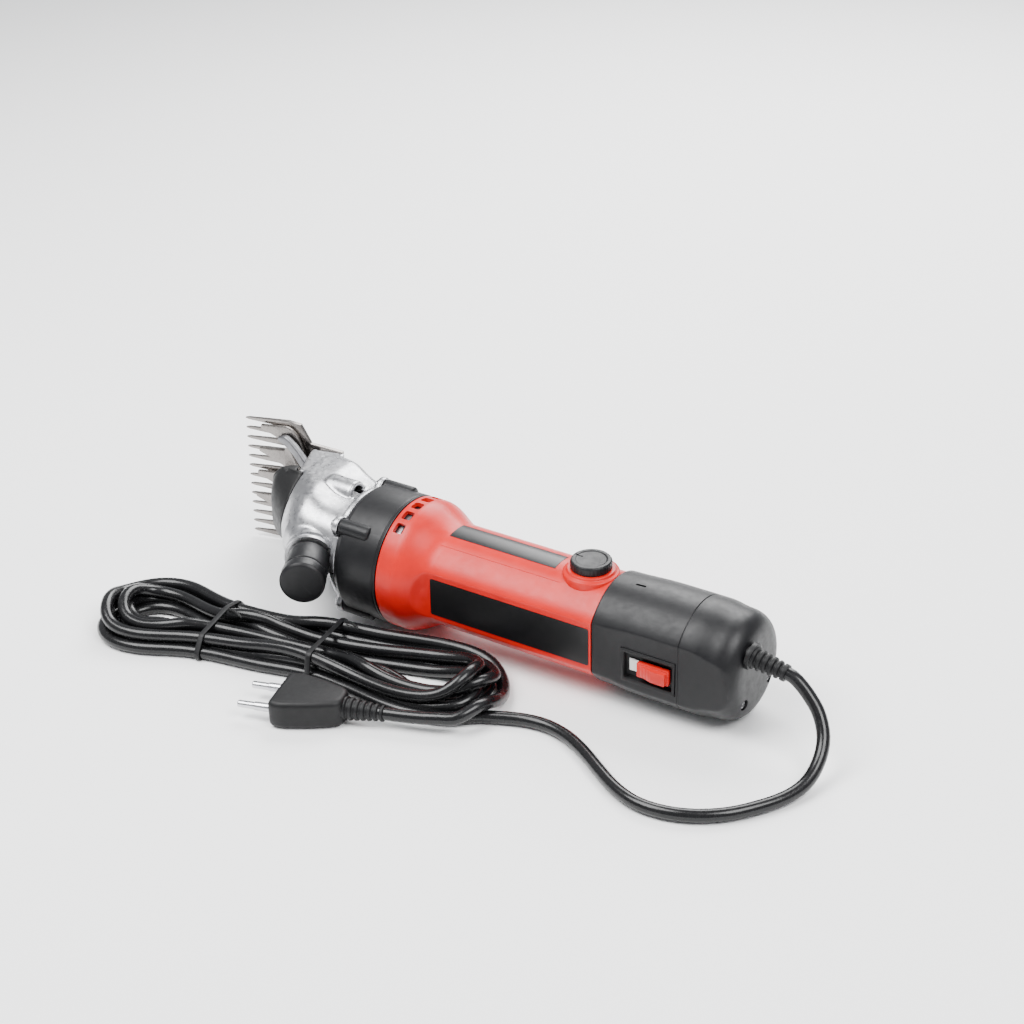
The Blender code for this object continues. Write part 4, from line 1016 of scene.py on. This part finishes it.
def make_guard():
    """The black hood over the front of the head, with a ledge moulded along its side."""
    guard = solid("nose_hood", loft(GUARD_SECTIONS))
    line = [(-84, 10.2), (-95, 11.4), (-101, 14.5), (-101, 16.5), (-95, 13.6), (-84, 12.4)]
    merged(guard, [solid("ledge", prism(softened(line, 0.4, 2), 18, 26.9))])
    recast(guard, 0.7, 2)
    tools = [solid("guard_hollow", loft(GUARD_HOLLOW))]
    tools.append(solid("tongue_notch", box((-120, 12, 23.6), (-60, 60, 40))))
    combined(guard, tools)
    recast(guard, 0.6, 4)
    piece(guard, "tool", SOFT_BLACK, ("nose_guard",), 60)


def make_flange_screws():
    face = RING_FRONT - 4.6
    for i, angle in enumerate(EAR_ANGLES):
        spot = polar(EAR_RADIUS, angle)
        profile = [(0, 0), (0, 3.4), (1.3, 3.3), (2.2, 2.2), (2.5, 0)]
        place = TOOL @ along((face, *spot), (face - 10, *spot))
        screw = solid(f"housing_screw_{i + 1}", lathe(softened(profile, 0.5, 3, False), 40), place)
        shank = rod("shank", (face - 0.5, *spot), (RING_FRONT + 12, *spot), 1.9, 20)
        combined(screw, [shank], "UNION")
        combined(screw, phillips("cross", place @ Matrix.Translation((0, 0, 2.7)), 1.9, 1.4))
        piece(screw, "tool", BRIGHT, (f"flange_screw_{i + 1}",))


def make_comb():
    """The comb: thirteen tapered, hollow-ground teeth on a slotted plate."""
    rear, slot_end, slot_half = 62, 51, 2.7
    outline = [(rear, -25), (rear, -14 - slot_half), (slot_end, -14 - slot_half), (slot_end, -14 + slot_half)]
    outline += [(rear, -14 + slot_half), (rear, 14 - slot_half), (slot_end, 14 - slot_half)]
    outline += [(slot_end, 14 + slot_half), (rear, 14 + slot_half), (rear, 25), (42, 27), (36, 38.2)]
    for i in range(13):
        across = (6 - i) * 6.2
        outline += [(28, across + 2.05), (14, across + 1.5), (2.5, across + 0.85), (0.3, across + 0.3)]
        outline += [(0.3, across - 0.3), (2.5, across - 0.85), (14, across - 1.5), (28, across - 2.05)]
        if i < 12:
            outline += [(29.6, across - 3.1)]
    outline += [(36, -38.2), (42, -27)]
    shape = prism(outline, 0, 2.6)
    for corner in shape.verts:
        if corner.co.z < 1 and corner.co.x < 30:
            corner.co.z = 1.35 * (1 - s_curve(corner.co.x, 0, 30))
    comb = solid("comb_plate", shape, TOOL @ COMB)
    bevelled(comb, 0.28, 2, 25)
    piece(comb, "tool", BLADE, ("comb",), 25)
    for i, side in enumerate((-1, 1)):
        profile = [(0, 0), (0, 4.6), (2.0, 4.6), (3.0, 3.7), (3.1, 0)]
        place = TOOL @ along(comb_point(54, -0.3, 14 * side), comb_point(54, -9, 14 * side))
        screw = solid(f"clamp_screw_{i + 1}", lathe(softened(profile, 0.4, 3, False), 48), place)
        shank = rod("shank", comb_point(54, -0.6, 14 * side), comb_point(54, 10, 14 * side), 1.9, 20)
        combined(screw, [shank], "UNION")
        slot = solid("slot", box((-6, -0.6, 2.0), (6, 0.6, 5)), place)
        combined(screw, [slot])
        piece(screw, "tool", BRIGHT, (f"comb_screw_{i + 1}",))


# ---- fork, cutter and tension


def make_cutter():
    """The cutter: four heavy ground teeth on a stepped plate."""

    def x(station):
        return station - PIVOT

    outline = [(x(40), -9), (x(40), 9), (x(31), 25), (x(27), 28)]
    for i in range(4):
        across = (1.5 - i) * 15.5
        outline += [(x(23.5), across + 5.3), (x(15), across + 3.1), (x(7), across + 1.3)]
        outline += [(x(7), across - 1.3), (x(15), across - 3.1), (x(23.5), across - 5.3)]
        if i < 3:
            outline += [(x(25), across - 7.75)]
    outline += [(x(27), -28), (x(31), -25)]
    shape = prism(outline, 2.9, 5.9)
    for corner in shape.verts:
        if corner.co.z > 4 and corner.co.x < x(24):
            corner.co.z -= 1.1 * (1 - s_curve(corner.co.x, x(7), x(24)))
    cutter = solid("cutter_plate", shape, TOOL @ FORK)
    bevelled(cutter, 0.75, 2, 40)
    rim = [(5.2, 0), (5.2, 5), (6.4, 4.6), (6.9, 3.4), (7.1, 0)]
    dome_place = TOOL @ FORK @ Matrix.Translation((x(30), 0, 0))
    dome = solid("dome", lathe(softened(rim, 0.6, 3, False), 40), dome_place)
    combined(cutter, [dome], "UNION")
    holes = []
    for side in (-1, 1):
        start, end = (x(22), side * 21.5, 0), (x(22), side * 21.5, 10)
        holes.append(rod(f"hole_{side}", start, end, 1.3, 24, TOOL @ FORK))
    combined(cutter, holes)
    piece(cutter, "fork", BLADE, ("cutter",), 28)


def bar(rows, steps, corner):
    """A bar along the fork through (station, low, high, half width, across) rows, its edges rounded."""
    rings = []
    for station, low, high, half, across in smooth_rows(rows, steps):
        section = rectangle(across - half, across + half, low, high)
        reach = min(corner, 0.42 * (high - low))
        rings.append([(station - PIVOT, y, z) for y, z in softened(section, reach, 4)])
    return skin(rings)


def make_fork():
    rows = ((103.3, 36, 42.5, 7, 0), (96, 34.2, 42.6, 8, 0), (88, 32, 42, 9, 0), (70, 27, 36, 9, 0),
            (58, 20, 28, 11, 0), (50, 15, 21, 12, 0))
    body = solid("fork_beam", bar(rows, 5, 2.2), TOOL @ FORK)
    slot = solid("slot", box((97 - PIVOT, -3.9, 20), (110 - PIVOT, 3.9, 50)), TOOL @ FORK)
    cup = rod("cup", (0, 0, 25), (0, 0, 36), 4.4, 32, TOOL @ FORK)
    combined(body, [slot, cup])
    piece(body, "fork", FORGED, ("fork_body",), 40)
    for name, side in (("left", -1), ("right", 1)):
        rows = ((49.6, 14.5, 20, 4, side * 7), (42, 11, 16, 4, side * 12), (33, 8, 13, 3.5, side * 18.5),
                (26, 6.6, 11, 3.2, side * 21.8), (20.5, 6.3, 9, 1.4, side * 21))
        arm = solid(f"fork_finger_{name}", bar(rows, 6, 1.8), TOOL @ FORK)
        piece(arm, "fork", FORGED, (f"fork_arm_{name}",), 40)


def make_knob():
    knob_r, length = 12.6, 25.5
    profile = [(-3.6, 0), (-3.6, 4.3), (-length, 4.3), (-length, knob_r - 0.4), (-9.8, knob_r - 0.4)]
    profile += [(-9.4, knob_r - 1.2), (-8.3, knob_r - 1.2), (-7.9, knob_r), (-1.4, knob_r), (0, knob_r - 1.4)]
    profile += [(0.15, 8), (0.3, 0)]
    knob = solid("knob_grip", lathe(softened(profile, 0.5, 3, False), 96), KNOB)
    piece(knob, "tension_knob", BLACK, ("tension_knob",), 30)


# ---- controls


def make_dial():
    profile = [(30.9, 0), (30.9, 11.1), (34.7, 11.1), (35.6, 10.3), (35.6, 8.6), (35.2, 8.0), (35.2, 0)]
    shape = lathe(softened(profile, 0.3, 3, False), 144)
    for corner in shape.verts:
        away = hypot(corner.co.x, corner.co.y)
        if away > 10.6:
            ripple = 0.22 * (0.5 + 0.5 * cos(36 * atan2(corner.co.y, corner.co.x)))
            corner.co.x *= 1 - ripple / away
            corner.co.y *= 1 - ripple / away
    place = TOOL @ Matrix.Translation((DIAL_X, 0, 0))
    dial = solid("dial_cap", shape, place)
    mark = solid("mark", box((-10, -0.5, 34.9), (-5.2, 0.5, 38)), place)
    combined(dial, [mark])
    piece(dial, "speed_dial", BLACK, ("speed_dial",), 30)


def make_switch():
    outline = softened(rectangle(148.3, 179.7, -12.7, 6.7), 0.8, 3)
    place = TOOL @ Matrix.Rotation(pi / 2, 4, "X")
    bezel = solid("switch_frame", prism(outline, 22.1, 26.9), place)
    tray = solid("tray", prism(softened(rectangle(150, 178.2, -10.4, 4.6), 0.8, 3), 23.6, 40), place)
    slot = solid("slot", prism(rectangle(156, 174, -6, 0), 10, 40), place)
    combined(bezel, [tray, slot])
    bevelled(bezel, 0.25, 2, 40)
    piece(bezel, "tool", SOFT_BLACK, ("switch_bezel",))
    cap = softened(rectangle(158, 176.5, -7.2, 1.2), 0.6, 3)
    slider = solid("slider_cap", prism(cap, 24.7, 27.4), place)
    wedge = [(159.6, 25.5), (160, 27.6), (167.5, 30.0), (175.4, 30.0), (175.8, 25.5)]
    rings = [[(x, -h, z) for x, h in softened(wedge, 0.6, 3)] for z in (-6.4, 0.4)]
    ridge = solid("wedge", skin(rings))
    stem = solid("stem", box((162.6, -25.5, -4.5), (171.5, -20.5, -1.5)))
    combined(slider, [ridge, stem], "UNION")
    ribs = []
    for k in range(4):
        x = 162 + 2.0 * k
        rib = box((x, -40, -7), (x + 0.7, -27.65 - 0.32 * (x - 160), 1))
        ribs.append(solid(f"rib_{k}", rib))
    combined(slider, ribs)
    bevelled(slider, 0.2, 2, 40)
    piece(slider, "switch_slider", RED, ("switch_slider",))
    mark = solid("switch_mark", box((152.2, -24.46, -6.5), (157.4, -23.9, 0.5)))
    bevelled(mark, 0.12, 2)
    piece(mark, "tool", WHITE, ("switch_index",))


make_handle()
make_labels()
make_rear_cover()
make_gearbox_ring()
make_casting()
make_guard()
make_flange_screws()
make_comb()
make_cutter()
make_fork()
make_knob()
make_dial()
make_switch()

# ---- pieces kept from the CAD model

KEPT = (
    (LAMINATIONS, ("armature_core", "stator_core")),
    (BRIGHT, ("armature_shaft", "crank_roller", "crank_shaft")),
    (BRIGHT, ("front_bearing", "pivot_post", "rear_bearing")),
    (SOFT_BLACK, ("bearing_bracket", "cooling_fan", "switch_body")),
    (PLAIN, ("brush_holder_1", "brush_holder_2", "crank_gear", "dial_shaft", "pinion_gear")),
    (PLAIN, ("potentiometer", "tension_pin")),
    # the bearing plate seen through the vents gets the dark forged steel instead of a bright finish, so the
    # vents read dark: painted shade
    (FORGED, ("bearing_plate",)),
    (CARBON, ("carbon_brush_1", "carbon_brush_2")),
    (COPPER, ("commutator", "field_coil_1", "field_coil_2")),
    (BOARD, ("speed_board",)),
    (WHITE, ("terminal_block",)),
)
for finish, names in KEPT:
    for name in names:
        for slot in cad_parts[name].material_slots:
            slot.material = finish

# ---- floor and light


def make_studio():
    """A pale floor and soft light from large panels."""
    floor = link(bpy.data.objects.new("floor", bpy.data.meshes.new("floor")))
    shape = bmesh.new()
    bmesh.ops.create_grid(shape, x_segments=1, y_segments=1, size=6)
    shape.to_mesh(floor.data)
    shape.free()
    paper = Nodes("paper", (0.93, 0.93, 0.93), 0.8)
    paper.vary_roughness(paper.noise(60, 3), 0.04)
    floor.data.materials.append(paper.material)
    world = bpy.data.worlds.new("studio")
    world.use_nodes = True
    sky = world.node_tree.nodes["Background"].inputs
    sky["Color"].default_value = (0.95, 0.97, 1, 1)
    sky["Strength"].default_value = 0.55
    bpy.context.scene.world = world
    panels = (
        ((-0.5, -0.5, 1.3), 0.9, 38),
        ((0.9, -0.2, 1.1), 0.7, 22),
        ((-0.2, 1.0, 0.9), 0.9, 30),
    )
    for i, (place, size, power) in enumerate(panels):
        data = bpy.data.lights.new(f"panel_{i + 1}", "AREA")
        data.shape = "SQUARE"
        data.size = size
        data.energy = power
        panel = link(bpy.data.objects.new(f"panel_{i + 1}", data))
        aim = Vector((0, 0, 0.03)) - Vector(place)
        panel.matrix_world = Matrix.Translation(place) @ aim.to_track_quat("-Z", "Y").to_matrix().to_4x4()


make_studio()
